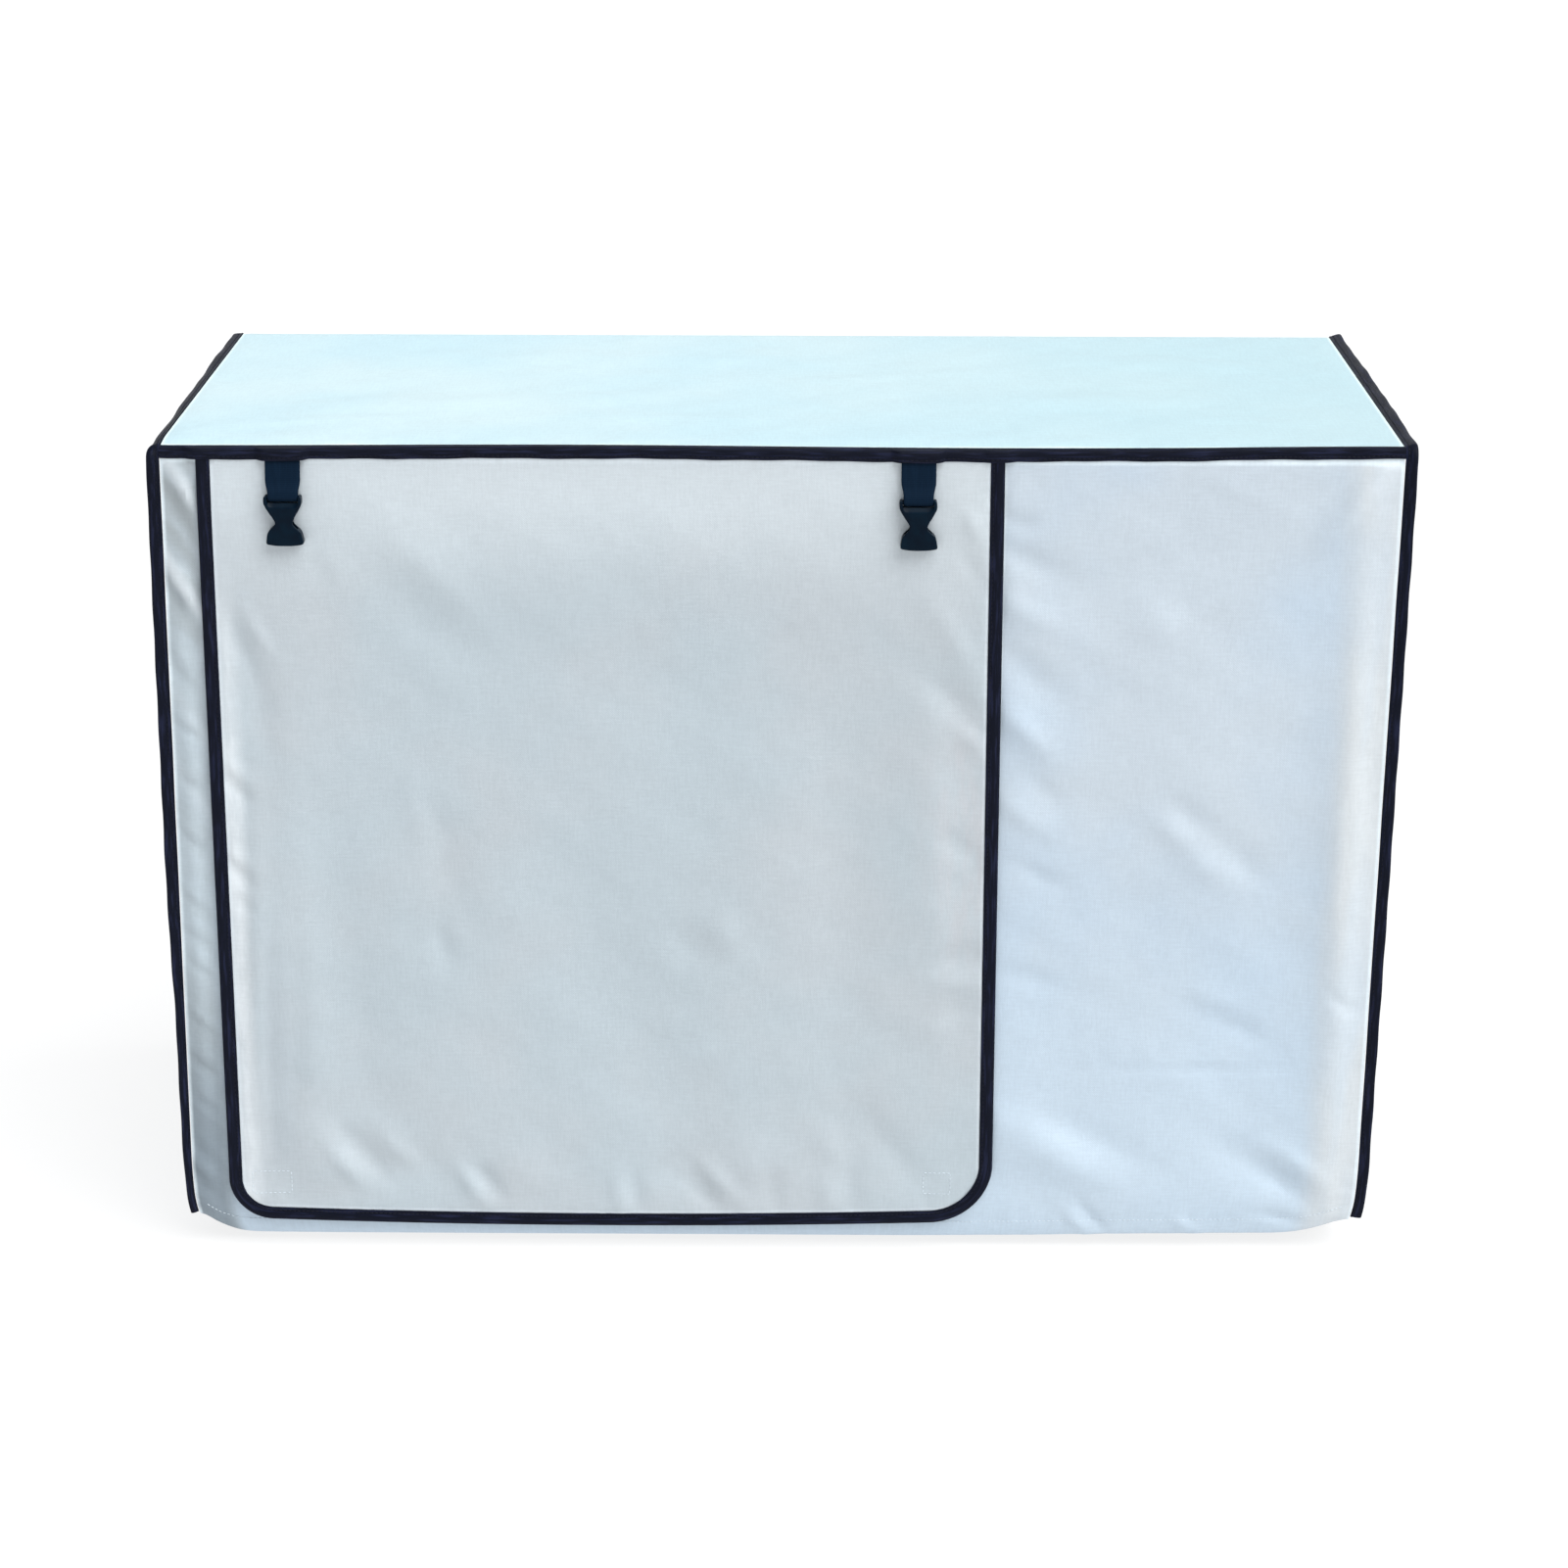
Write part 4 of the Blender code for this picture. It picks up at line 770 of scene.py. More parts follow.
def ribbed_tape(name, dark, light, rib, slope, roughness, gloss, highlight_streak_share):
    """Woven tape: fine ribs painted lighter on their crowns, with a little fluff, and broken pale streaks
    along it; crowns and streaks are painted highlight.
    """
    finish = Finish(bpy.data.materials.new(name))
    across, up, _, place = finish.cloth_place()
    fluff = finish.noise(place, 900.0, 3.0, 0.7)
    rib_wave = (up * (2 * math.pi / rib) + across * (slope * 2 * math.pi / rib) + fluff * 1.2).sine()
    fine = (across * (2 * math.pi / (rib * 0.8)) + fluff).sine()
    crown = (rib_wave * 0.5 + 0.5) ** 1.5
    # Broken pale streaks along the tape, mixed in below by the given share: a painted highlight line.
    painted_highlight_streak = finish.noise(finish.stretched(place, (520.0, 34.0, 1.0)), 1.0, 3.0, 0.6).between(0.48, 0.66)
    # Crowns painted lighter than the grooves: painted highlight on the crowns, painted shade between them.
    colour = finish.mixed(crown * 0.45 + fluff * 0.2, dark, light)
    colour = finish.mixed(painted_highlight_streak * highlight_streak_share, colour, tuple(1.9 * c for c in light))
    normal = finish.bumped(crown + fine * 0.25 + fluff * 0.5, 0.00010, 0.8)
    rough = roughness + fluff * 0.15
    return finish.done(
        Base_Color=colour, Roughness=rough, Normal=normal,
        Specular_IOR_Level=gloss,
    )


def moulded_plastic(name):
    """Injection moulded nylon with a fine matt grain."""
    finish = Finish(bpy.data.materials.new(name))
    place = finish.add("ShaderNodeTexCoord", {}, output=3)
    grain = finish.noise(place, 2600.0, 3.0, 0.6)
    cloud = finish.noise(place, 120.0, 2.0, 0.5)
    colour = finish.mixed(cloud.between(0.3, 0.7), (0.0001, 0.0040, 0.0107), (0.0002, 0.0068, 0.0157))
    rough = 0.30 + grain * 0.18
    return finish.done(
        Base_Color=colour, Roughness=rough, Normal=finish.bumped(grain, 0.00006, 0.5),
        Specular_IOR_Level=0.07,
    )


def thread_finish(name, colour, light):
    """Twisted sewing thread."""
    finish = Finish(bpy.data.materials.new(name))
    place = finish.add("ShaderNodeTexCoord", {}, output=3)
    twist = finish.add(
        "ShaderNodeTexWave", {"bands_direction": "DIAGONAL"}, Vector=place, Scale=900.0, Distortion=1.5
    )
    shade = finish.mixed(twist, colour, light)
    return finish.done(
        Base_Color=shade, Roughness=0.5 + twist * 0.1, Normal=finish.bumped(twist, 0.00005, 0.6),
        Specular_IOR_Level=0.15,
    )


# Painted light and shade in the narrow strip across its slanting ridges: paler rows are painted highlight,
# duller rows painted shade
RIDGE_PAINTED_HIGHLIGHT, TROUGH_PAINTED_SHADE = (0.600, 0.645, 0.675), (0.250, 0.270, 0.275)
SLANT_WIDTH = 0.016
STRIP_SLANTS = (
    (-0.648, 0.35, RIDGE_PAINTED_HIGHLIGHT), (-0.674, 0.70, RIDGE_PAINTED_HIGHLIGHT), (-0.697, 0.60, TROUGH_PAINTED_SHADE),
    (-0.722, 0.30, TROUGH_PAINTED_SHADE), (-0.749, 0.95, RIDGE_PAINTED_HIGHLIGHT), (-0.770, 0.60, TROUGH_PAINTED_SHADE),
    (-0.800, 0.25, TROUGH_PAINTED_SHADE), (-0.842, 0.45, RIDGE_PAINTED_HIGHLIGHT), (-0.896, 0.35, RIDGE_PAINTED_HIGHLIGHT),
)


def front_tone(finish, across, up, place, colour):
    """Painted shade greys the narrow strip beside the flap, darkest at its lower end; painted light makes a
    pale band near the other seam and a bluer lower front.
    """
    # Painted light: bluer towards the bottom.
    colour = finish.mixed((1 - up.between(-0.50, -0.25)) * 0.6, colour, (0.488, 0.602, 0.712))
    # The strip's painted shade: a greyer colour in slanting streaks that follow its ridges.
    slanted = finish.stretched(finish.turned(place, 42.0), (14.0, 62.0, 1.0))
    slanted_shade_streaks = finish.noise(slanted, 1.0, 2.0, 0.5).between(0.38, 0.62)
    strip_light_and_shade = finish.mixed(slanted_shade_streaks, (0.335, 0.375, 0.395), (0.395, 0.450, 0.485))
    slant = up + across * 1.6
    for middle, share, tone in STRIP_SLANTS:
        near = 1 - ((slant - middle) / SLANT_WIDTH).size().between(0.0, 1.0)
        strip_light_and_shade = finish.mixed(near * share, strip_light_and_shade, tone)
    # Painted light: the strip paler at its middle height.
    painted_light_middle_band = up.between(-0.46, -0.36) * (1 - up.between(-0.17, -0.07))
    strip_light_and_shade = finish.mixed(painted_light_middle_band * 0.55, strip_light_and_shade, (0.455, 0.535, 0.590))
    strip = 1 - across.between(-0.402, -0.388)
    colour = finish.mixed(strip * 0.88, colour, strip_light_and_shade)
    # Painted shade: the strip's lower end much darker.
    low = 1 - up.between(-0.530, -0.36)
    colour = finish.mixed(strip * low * 0.80, colour, (0.175, 0.220, 0.262))
    # Painted sheen: a pale, broken upright band near the right seam.
    soft = finish.noise(finish.stretched(place, (30.0, 6.0, 1.0)), 1.0, 2.0, 0.5).between(0.35, 0.62)
    band = across.between(0.376, 0.398) * (0.50 + soft * 0.4)
    return finish.mixed(band, colour, (0.580, 0.612, 0.632))


def flap_tone(finish, across, up, place, colour):
    """Paler near the top and along the left edge, painted light; a duller upright band beside that, painted
    shade; and greyer in broken patches near the right edge.
    """
    broken = finish.noise(finish.stretched(place, (60.0, 14.0, 1.0)), 1.0, 3.0, 0.6).between(0.38, 0.62)
    # Painted light: paler towards the top.
    colour = finish.mixed(up.between(-0.130, -0.020) * 0.85, colour, (0.550, 0.602, 0.638))
    # Painted highlight: paler along the left edge, broken by noise.
    edge = (1 - across.between(-0.381, -0.369)) * (1 - up.between(-0.20, -0.06))
    colour = finish.mixed(edge * (0.55 + broken * 0.45), colour, (0.650, 0.695, 0.730))
    # Painted shade: a duller upright band beside the left edge.
    band = across.between(-0.370, -0.360) * (1 - across.between(-0.356, -0.340))
    band = band * (1 - up.between(-0.44, -0.30)) * up.between(-0.555, -0.500)
    colour = finish.mixed(band * 0.75, colour, (0.365, 0.412, 0.450))
    side = across.between(0.085, 0.125) * (1 - up.between(-0.27, -0.12)) * up.between(-0.45, -0.30)
    return finish.mixed(side * (0.2 + broken * 0.4), colour, (0.485, 0.490, 0.518))


def back_tone(finish, across, up, place, colour):
    """The top keeps its sky-blue colour, a painted reflection of the sky, and turns duller towards its right
    end as painted shade; the wall that hangs behind it is plain silver.
    """
    patch = finish.noise(place, 5.0, 3.0, 0.55).between(0.36, 0.66)
    wall = finish.mixed(patch, (0.485, 0.555, 0.618), (0.505, 0.560, 0.600))
    # Painted shade: the top duller towards its right end.
    colour = finish.mixed(across.between(-0.20, 0.42) * 0.75, colour, (0.430, 0.590, 0.635))
    return finish.mixed(up.between(DEPTH - 0.012, DEPTH + 0.012), colour, wall)


FRONT_CLOTH = silver_cloth(
    "front_silver_oxford", (0.477, 0.569, 0.664), (0.508, 0.574, 0.637), 5.0, front_tone
)
FLAP_CLOTH = silver_cloth(
    "flap_silver_oxford", (0.442, 0.507, 0.550), (0.458, 0.503, 0.539), 6.0, flap_tone
)
SIDE_CLOTH = silver_cloth("side_silver_oxford", (0.466, 0.543, 0.611), (0.498, 0.548, 0.588), 5.0)
# The top's colours are sky-blue: a painted reflection of the sky.
TOP_CLOTH = silver_cloth(
    "top_silver_oxford", (0.475, 0.640, 0.698), (0.530, 0.665, 0.700), 4.0, back_tone,
    metallic=0.08, roughness=0.58,
)
BLACK_TAPE = ribbed_tape(
    "black_binding_tape", (0.0012, 0.0024, 0.0070), (0.0060, 0.0076, 0.0200), 0.0008, 0.5, 0.34, 0.08, 0.85
)
WEBBING_FINISH = ribbed_tape(
    "dark_webbing_ribs", (0.0016, 0.0080, 0.0200), (0.0048, 0.0140, 0.0300), WEBBING_RIB, 0.0, 0.55,
    0.04, 0.15,
)
PLASTIC = moulded_plastic("moulded_dark_plastic")
SILVER_THREAD = thread_finish("silver_thread", (0.50, 0.57, 0.63), (0.68, 0.74, 0.79))
BLACK_THREAD = thread_finish("black_thread", (0.003, 0.004, 0.008), (0.010, 0.011, 0.020))


# The cloth pieces

def down_to_hem(tops, bottoms, levels):
    """The heights of a wall's rows, from its top edge to the hem's stitch line."""
    return tops[:, None] + (bottoms + HEM_DEPTH - tops)[:, None] * levels[None, :]


def wall_grid(points_at, shares, body, bottoms, inwards):
    """The two grids of a wall and its hem. shares say how far along the wall its columns are,
    body is the heights of its rows down to the stitch line, and bottoms its lower edge."""
    stitch_line, low = body[:, -1:], bottoms[:, None] + HEM_ROUND
    turned = stitch_line + (low - stitch_line) * np.array([0.05, 0.14, 0.3, 0.5, 0.72, 1.0])
    angles = np.radians([30, 60, 90])
    z = np.concatenate([body, turned, low - HEM_ROUND * np.sin(angles)], 1)
    curl = HEM_ROUND * (1 - np.cos(angles))
    doubled = CLOTH + HEM_EXTRA
    thick = np.concatenate(
        [np.full(body.shape[1], CLOTH), [CLOTH + 0.6 * HEM_EXTRA], np.full(5, doubled), doubled - 0.3 * curl]
    )
    curl = np.concatenate([np.zeros(z.shape[1] - len(angles)), curl])
    along = np.broadcast_to(shares[:, None], z.shape)
    outside, ways = points_at(along, z), np.asarray(inwards, float)
    outer = outside + ways * curl[None, :, None]
    inner = outside + ways * thick[None, :, None]
    return outer, inner, np.stack([along, z], -1)


def front_panel():
    left = steps(-WIDTH / 2, WINDOW_LEFT, 0.0035)
    middle = steps(WINDOW_LEFT, WINDOW_RIGHT, 0.0060)
    right = steps(WINDOW_RIGHT, WIDTH / 2, 0.0036)
    xs = joined(left, middle, right)
    top = TOP_EDGE_Z - top_dip(xs, FRONT_Y)
    bottom = hem_z(WIDTH / 2 - np.abs(xs), xs)
    above = steps(0, 1, 0.09)
    beside = steps(WINDOW_TOP, WINDOW_BOTTOM, 0.0040)
    rows = [top[:, None] + (WINDOW_TOP - top)[:, None] * above[None, :]]
    rows.append(np.broadcast_to(beside[1:], (len(xs), len(beside) - 1)))
    rows.append(WINDOW_BOTTOM + (bottom + HEM_DEPTH - WINDOW_BOTTOM)[:, None] * above[None, 1:])
    body = np.concatenate(rows, 1)
    outer, inner, place = wall_grid(front_points, 2 * xs / WIDTH, body, bottom, (0, 1, 0))
    place = place * np.array([WIDTH / 2, 1])
    x, z = place[..., 0], place[..., 1]
    keep = np.ones((len(xs) - 1, z.shape[1] - 1), bool)
    first, top_row = len(left) - 1, len(above) - 1
    keep[first : first + len(middle) - 1, top_row : top_row + len(beside) - 1] = False
    # Beside the flap, the painted highlight rim follows only the flap's right edge and fades out low down.
    from_flap = np.where(x > 0, np.abs(np.abs(x - FLAP_MIDDLE_X) - flap_half(z)), SEAM_SEEN)
    from_flap = from_flap + np.maximum(0.0, FLAP_BOTTOM + 0.05 - z)
    from_seam = np.minimum(np.minimum(WIDTH / 2 - np.abs(x), -z - TAPE_LOW), from_flap)
    return cloth_sheet("front_panel_cloth", outer, inner, place, from_seam, FRONT_CLOTH, keep)


def side_top(y):
    """The top of a side panel, which follows the fold of the back edge."""
    radius = BACK_FOLD_RADIUS - CLOTH - GAP
    past = np.maximum(0.0, y - (-FRONT_Y - BACK_FOLD_RADIUS))
    return CLOTH - BACK_FOLD_RADIUS + np.sqrt(radius**2 - past**2)


def side_panel(side, name):
    inner_reach = DEPTH / 2 - CLOTH - HEM_EXTRA - GAP
    vs = joined(steps(-1, 0.955, 0.022), np.array([0.955, 0.966, 0.976, 0.984, 0.991, 0.996, 1.0]))
    y = vs * inner_reach
    top = side_top(y) - top_dip(side * WIDTH / 2, y)
    bottom = hem_z((1 - np.abs(vs)) * DEPTH / 2, side * WIDTH / 2)
    body = down_to_hem(top, bottom, steps(0, 1, 0.0072))
    outer, inner, place = wall_grid(partial(side_points, side), vs, body, bottom, (-side, 0, 0))
    place = place * np.array([DEPTH / 2, 1])
    from_seam = np.minimum(DEPTH / 2 - np.abs(place[..., 0]), -place[..., 1])
    return cloth_sheet(name, outer, inner, place, from_seam, SIDE_CLOTH)


def top_back_panel():
    us = steps(-1, 1, 0.0115)
    x = us * WIDTH / 2
    front_edge = FRONT_Y + CLOTH + GAP
    fold_start = -FRONT_Y - BACK_FOLD_RADIUS
    ys = joined(steps(front_edge, front_edge + 0.03, 0.003), steps(front_edge + 0.03, fold_start, 0.0052))
    across, deep = np.meshgrid(x, ys, indexing="ij")
    from_edge = np.minimum(WIDTH / 2 - np.abs(across), np.minimum(deep - front_edge, fold_start - deep))
    lift = np.maximum(0.0, folded(TOP_FOLDS, across, deep) - TOP_LIES_FLAT_BELOW)
    crumple = 0.0004 * crumpled(across, deep, 0.095, 11.3) + 0.0004
    fine = folded(TOP_CREASES, across, deep) + waved(across, deep, 5.0) + crumple
    fine = fine + puckered(across, deep - front_edge, 1.0) + puckered(deep, WIDTH / 2 - np.abs(across), 4.0)
    lift = ease(from_edge / 0.045) * lift + ease(from_edge / 0.008) * np.maximum(fine, -0.0002)
    lift = lift - top_dip(across, deep)
    outer = [point(across, deep, CLOTH + lift)]
    inner = [point(across, deep, lift)]
    angles = np.radians(np.arange(1, 8) * 11.25)
    flat, turn = np.meshgrid(x, angles, indexing="ij")
    for radius, grids in ((BACK_FOLD_RADIUS, outer), (BACK_FOLD_RADIUS - CLOTH, inner)):
        z = CLOTH - BACK_FOLD_RADIUS + radius * np.cos(turn)
        grids.append(point(flat, fold_start + radius * np.sin(turn), z))
    bottom = hem_z((1 - np.abs(us)) * WIDTH / 2, x)
    start = np.full(len(us), CLOTH - BACK_FOLD_RADIUS)
    body = down_to_hem(start, bottom, steps(0, 1, 0.0088))
    wall_outer, wall_inner, _ = wall_grid(back_points, us, body, bottom, (0, -1, 0))
    outside = np.concatenate([*outer, wall_outer], 1)
    inside = np.concatenate([*inner, wall_inner], 1)
    travelled = lengths_along(outside[len(us) // 2])
    place = np.stack(np.meshgrid(x, travelled, indexing="ij"), -1)
    from_seam = np.minimum(WIDTH / 2 - np.abs(place[..., 0]), place[..., 1] - TAPE_ON_TOP)
    return cloth_sheet("top_back_panel_cloth", outside, inside, place, from_seam, TOP_CLOTH)


def flap():
    half = flap_half(0) - FLAP_INSET
    share = joined(
        steps(-half, -half + 0.05, 0.0028), steps(-half + 0.05, half - 0.05, 0.0044),
        steps(half - 0.05, half, 0.0028),
    ) / half
    low_x = FLAP_MIDDLE_X + share * (flap_half(FLAP_BOTTOM) - FLAP_INSET)
    bottom = flap_bottom_z(low_x, FLAP_INSET)
    stations = joined(steps(0, 0.9, 0.0080), steps(0.9, 1.0, 0.0055))
    z = FLAP_TOP + (bottom - FLAP_TOP)[:, None] * stations[None, :]
    x = FLAP_MIDDLE_X + share[:, None] * (flap_half(z) - FLAP_INSET)
    outside = point(x, flap_front(x, z), z)
    inside = outside + np.array([0, CLOTH, 0])
    from_seam = np.minimum(flap_half(z) - np.abs(x - FLAP_MIDDLE_X), z - flap_bottom_z(x))
    from_seam = np.minimum(from_seam - BINDING_WIDTH, -z - TAPE_LOW)
    return cloth_sheet("flap_cloth", outside, inside, np.stack([x, z], -1), from_seam, FLAP_CLOTH)


# The bindings


def flap_outline():
    """Points round the flap's bound edge, with their inward directions."""
    left_end, right_end = FLAP_BOTTOM + FLAP_RADIUS_LEFT, FLAP_BOTTOM + FLAP_RADIUS_RIGHT
    half = flap_half(FLAP_BOTTOM)
    route = [(FLAP_MIDDLE_X - flap_half(z), z) for z in steps(FLAP_TOP, left_end, 0.0035)]
    for angle in np.radians(np.arange(1, 16) * 90 / 16):
        x = FLAP_MIDDLE_X - half + FLAP_RADIUS_LEFT * (1 - math.cos(angle))
        route.append((x, float(flap_bottom_z(x))))
    first = FLAP_MIDDLE_X - half + FLAP_RADIUS_LEFT
    last = FLAP_MIDDLE_X + half - FLAP_RADIUS_RIGHT
    route += [(x, float(flap_bottom_z(x))) for x in steps(first, last, 0.0035)]
    for angle in np.radians(np.arange(1, 20) * 90 / 20):
        x = last + FLAP_RADIUS_RIGHT * math.sin(angle)
        route.append((x, float(flap_bottom_z(x))))
    route += [(FLAP_MIDDLE_X + flap_half(z), z) for z in steps(right_end, FLAP_TOP, 0.0035)]
    route = np.array(route)
    inward = quarter_turned(np.gradient(route, axis=0))
    inward[0], inward[-1] = (1, 0), (-1, 0)
    return route, inward


def flap_binding():
    """Tape folded round the flap's edge, sewn through near its inner edge."""
    route, inward = flap_outline()
    inner_gap = GAP + CLOTH / 2
    outer = inner_gap + TAPE_WALL
    bulge = BINDING_BULGE
    shape = []
    for angle in np.radians(np.arange(-80, 81, 20)):
        shape.append((outer * (1 - math.cos(angle)) * 0.9, outer * math.sin(angle)))
    legs = ((0.0012, 0.9 * bulge), (0.0022, 1.7 * bulge), (0.0034, 2.1 * bulge), (0.0046, 2.0 * bulge))
    legs += ((0.0058, 1.4 * bulge), (0.0068, 0.5 * bulge), (0.0076, -0.2 * bulge))
    legs += ((0.0086, 0.2 * bulge), (0.0094, 0.0))
    far = [(inwards, outer + rise) for inwards, rise in legs]
    near = [(inwards, -outer - rise) for inwards, rise in legs]
    inside = [
        (BINDING_WIDTH, outer - 0.0003),
        (BINDING_WIDTH, inner_gap),
        (TAPE_WALL, inner_gap),
        (TAPE_WALL, -inner_gap),
        (BINDING_WIDTH, -inner_gap),
        (BINDING_WIDTH, -outer + 0.0003),
    ]
    profile = np.array(shape + far + inside + near[::-1])
    travelled = lengths_along(route)
    swell = 0.00016 * np.sin(travelled * 190) * (0.6 + 0.4 * np.sin(travelled * 37))
    y_middle = FRONT_Y - stand(route[:, 1]) - CLOTH / 2
    xs = route[:, :1] + inward[:, :1] * profile[None, :, 0]
    zs = route[:, 1:] + inward[:, 1:] * profile[None, :, 0]
    towards_back = profile[None, :, 1] * np.ones((len(route), 1))
    on_front = (profile[:, 1] < -outer * 0.6)[None, :]
    ys = y_middle[:, None] + towards_back - np.where(on_front, np.abs(swell)[:, None], 0.0)
    rings = np.stack([xs, ys, zs], -1)
    made = swept("flap_binding_tape", rings, BLACK_TAPE, travelled, lengths_along(profile), sharp=50)
    seam = BINDING_WIDTH - BINDING_SEAM
    line = point(
        route[:, 0] + inward[:, 0] * seam, y_middle - outer + 0.1 * bulge, route[:, 1] + inward[:, 1] * seam
    )
    stitches = stitched("flap_binding_stitches", [(line, (0, -1, 0))], BLACK_THREAD)
    return made, stitches


def tape_stand(x):
    """How far the front top tape stands off the front panel: over cloth, binding or a strap."""
    needed = [(-WIDTH, WIDTH, GAP)]
    half = flap_half(0)
    left, right = FLAP_MIDDLE_X - half, FLAP_MIDDLE_X + half
    over_cloth = STAND_AT_SEAM + CLOTH + GAP
    over_binding = over_cloth + TAPE_WALL + GAP
    needed.append((left, right, over_cloth))
    needed.append((left, left + BINDING_WIDTH, over_binding))
    needed.append((right - BINDING_WIDTH, right, over_binding))
    tape_low = TOP_EDGE_Z - TAPE_ON_FRONT - DIP - DIP_SWING
    for strap_x, bar_z in zip(STRAP_X, BAR_Z):
        reach = STRAP_WIDTH / 2
        strap_front = strap_forward(tape_low, bar_z) + (STRAP_LAYERS_APART + WEBBING) / 2
        needed.append((strap_x - reach, strap_x + reach, strap_front + 2 * GAP))
    stand_off = np.full(np.shape(x), GAP)
    for start, end, height in needed:
        outside = np.maximum(np.maximum(start - x, x - end), 0.0) - 0.0008
        stand_off = np.maximum(stand_off, height * (1 - ease(outside / 0.009)))
    return stand_off


def front_top_tape():
    """Tape folded over the front top edge, with bumps over the binding and the straps."""
    xs = steps(-WIDTH / 2 - 0.0003, WIDTH / 2 + 0.0003, 0.0022)
    inner = FRONT_Y - tape_stand(xs) - 0.0001
    outer = inner - TAPE_WALL
    top = TOP_EDGE_Z + GAP - top_dip(xs, FRONT_Y)
    ragged = 0.00025 * np.sin(xs * 61 + 1) + 0.00015 * np.sin(xs * 173)
    low = top - GAP - TAPE_ON_FRONT + ragged
    back = FRONT_Y + TAPE_ON_TOP + 0 * xs
    back_top = TOP_EDGE_Z + GAP - top_dip(xs, back)
    puff = 0.00022 * (1 + np.sin(xs * 205))
    ring = [
        (back, back_top),
        (inner, top),
        (inner, low),
        (inner - 0.0002, low - 0.0001),
        (outer + 0.0001, low),
        (outer, low + 0.0009),
        (outer + 0.0002, low + 0.0020),
        (outer - puff, low + 0.0036),
        (outer - puff, low + 0.0052),
        (outer, top - 0.0004),
        (outer + 0.0002, top + 0.0003),
        (outer + 0.0007, top + TAPE_WALL * 0.9),
        (outer + 0.0014, top + TAPE_WALL + 0.0001),
        (back, back_top + TAPE_WALL),
    ]
    rings = np.stack([point(xs, y, z) for y, z in ring], 1)
    around = np.linspace(0, 0.021, len(ring))
    made = swept("front_top_edge_tape", rings, BLACK_TAPE, xs, around, sharp=50)
    line = point(xs, outer + 0.0001, low + 0.0020)
    stitches = stitched("front_top_stitches", [(line, (0, -1, 0))], BLACK_THREAD)
    return made, stitches


def side_loop(side):
    """The seam round a side panel, from the front hem over the top to the back hem."""
    radius, middle = FIN_CORNER_RADIUS, CLOTH / 2
    low = float(hem_z(0.0, side * WIDTH / 2)) + FIN_ABOVE_HEM
    front, back = FRONT_Y + middle, -FRONT_Y - middle
    top = TOP_EDGE_Z - middle
    levels = steps(low, top - radius, 0.0040)
    route = []
    for z in levels:
        inwards = drawn_in(z) + corner_drawn_in(z)
        route.append((front + inwards, z, -1.0, 0.0))
    for angle in np.radians(np.arange(1, 8) * 11.25):
        y = front + radius - radius * math.cos(angle)
        route.append((y, top - radius + radius * math.sin(angle), -math.cos(angle), math.sin(angle)))
    for y in steps(front + radius, back - radius, 0.0040):
        route.append((y, top, 0.0, 1.0))
    for angle in np.radians(np.arange(1, 8) * 11.25):
        y = back - radius + radius * math.sin(angle)
        route.append((y, top - radius + radius * math.cos(angle), math.sin(angle), math.cos(angle)))
    for z in levels[::-1]:
        inwards = drawn_in(z) + corner_drawn_in(z)
        route.append((back - inwards, z, 1.0, 0.0))
    route = np.array(route, float)
    route[:, 1] -= top_dip(side * WIDTH / 2, route[:, 0]) * ease(1 + route[:, 1] / 0.05)
    return route


def side_binding(side, name, shape, phase):
    """The bound seam round a side panel: it stands out sideways and waves a little."""
    half = FIN_THICKNESS / 2
    route = side_loop(side)
    travelled = lengths_along(route[:, :2])
    share = travelled / travelled[-1]
    width, tilt = np.zeros(len(route)), np.zeros(len(route))
    for before, after in zip(shape, shape[1:]):
        here = (share >= before.along) & (share <= after.along)
        part = ease((share - before.along) / (after.along - before.along))
        width[here] = (before.width + (after.width - before.width) * part)[here]
        tilt[here] = np.radians(before.tilt + (after.tilt - before.tilt) * part)[here]
    wave = np.sin(travelled * 46 + phase) + 0.6 * np.sin(travelled * 83 + 2 * phase)
    tilt = tilt + FIN_WAVE * wave / 1.6
    width = width + 0.00018 * np.sin(travelled * 140 + phase) - 0.0001
    root = WIDTH / 2 - drawn_in(route[:, 1]) - corner_drawn_in(route[:, 1]) + FIN_ROOT
    profile = [(0.0, -0.8), (0.06, -0.92), (0.20, -0.80), (0.30, -0.78), (0.45, -0.98), (0.65, -1.0)]
    profile += [(0.82, -0.92), (0.93, -0.68), (0.99, -0.3), (1.0, 0.0)]
    profile = profile + [(out, -thick) for out, thick in profile[-2::-1]]
    rings = []
    for out, thick in profile:
        reach, across = out * width, thick * half
        sideways = np.maximum(root, root + reach * np.cos(tilt) - across * np.sin(tilt))
        raised = reach * np.sin(tilt) + across * np.cos(tilt)
        x = side * sideways + lean(route[:, 1])
        rings.append(point(x, route[:, 0] + route[:, 2] * raised, route[:, 1] + route[:, 3] * raised))
    rings = np.stack(rings, 1)
    around = np.linspace(0, 0.021, len(profile))
    made = swept(name, rings, BLACK_TAPE, travelled, around, sharp=60)
    seam = np.stack([rings[:, 3], rings[:, len(profile) - 4]], 0)
    middle = seam.mean(0)
    runs = [(line, (line - middle)) for line in seam]
    return made, stitched(name.replace("tape", "stitches"), runs, BLACK_THREAD)


# Straps


def strap_forward(z, bar_z):
    """How far in front of the front panel the strap's mid-plane hangs."""
    share = (STRAP_TOP_Z - z) / (STRAP_TOP_Z - bar_z)
    return STRAP_TOP_FORWARD + (BUCKLE_FORWARD - STRAP_TOP_FORWARD) * np.minimum(1.0, share)


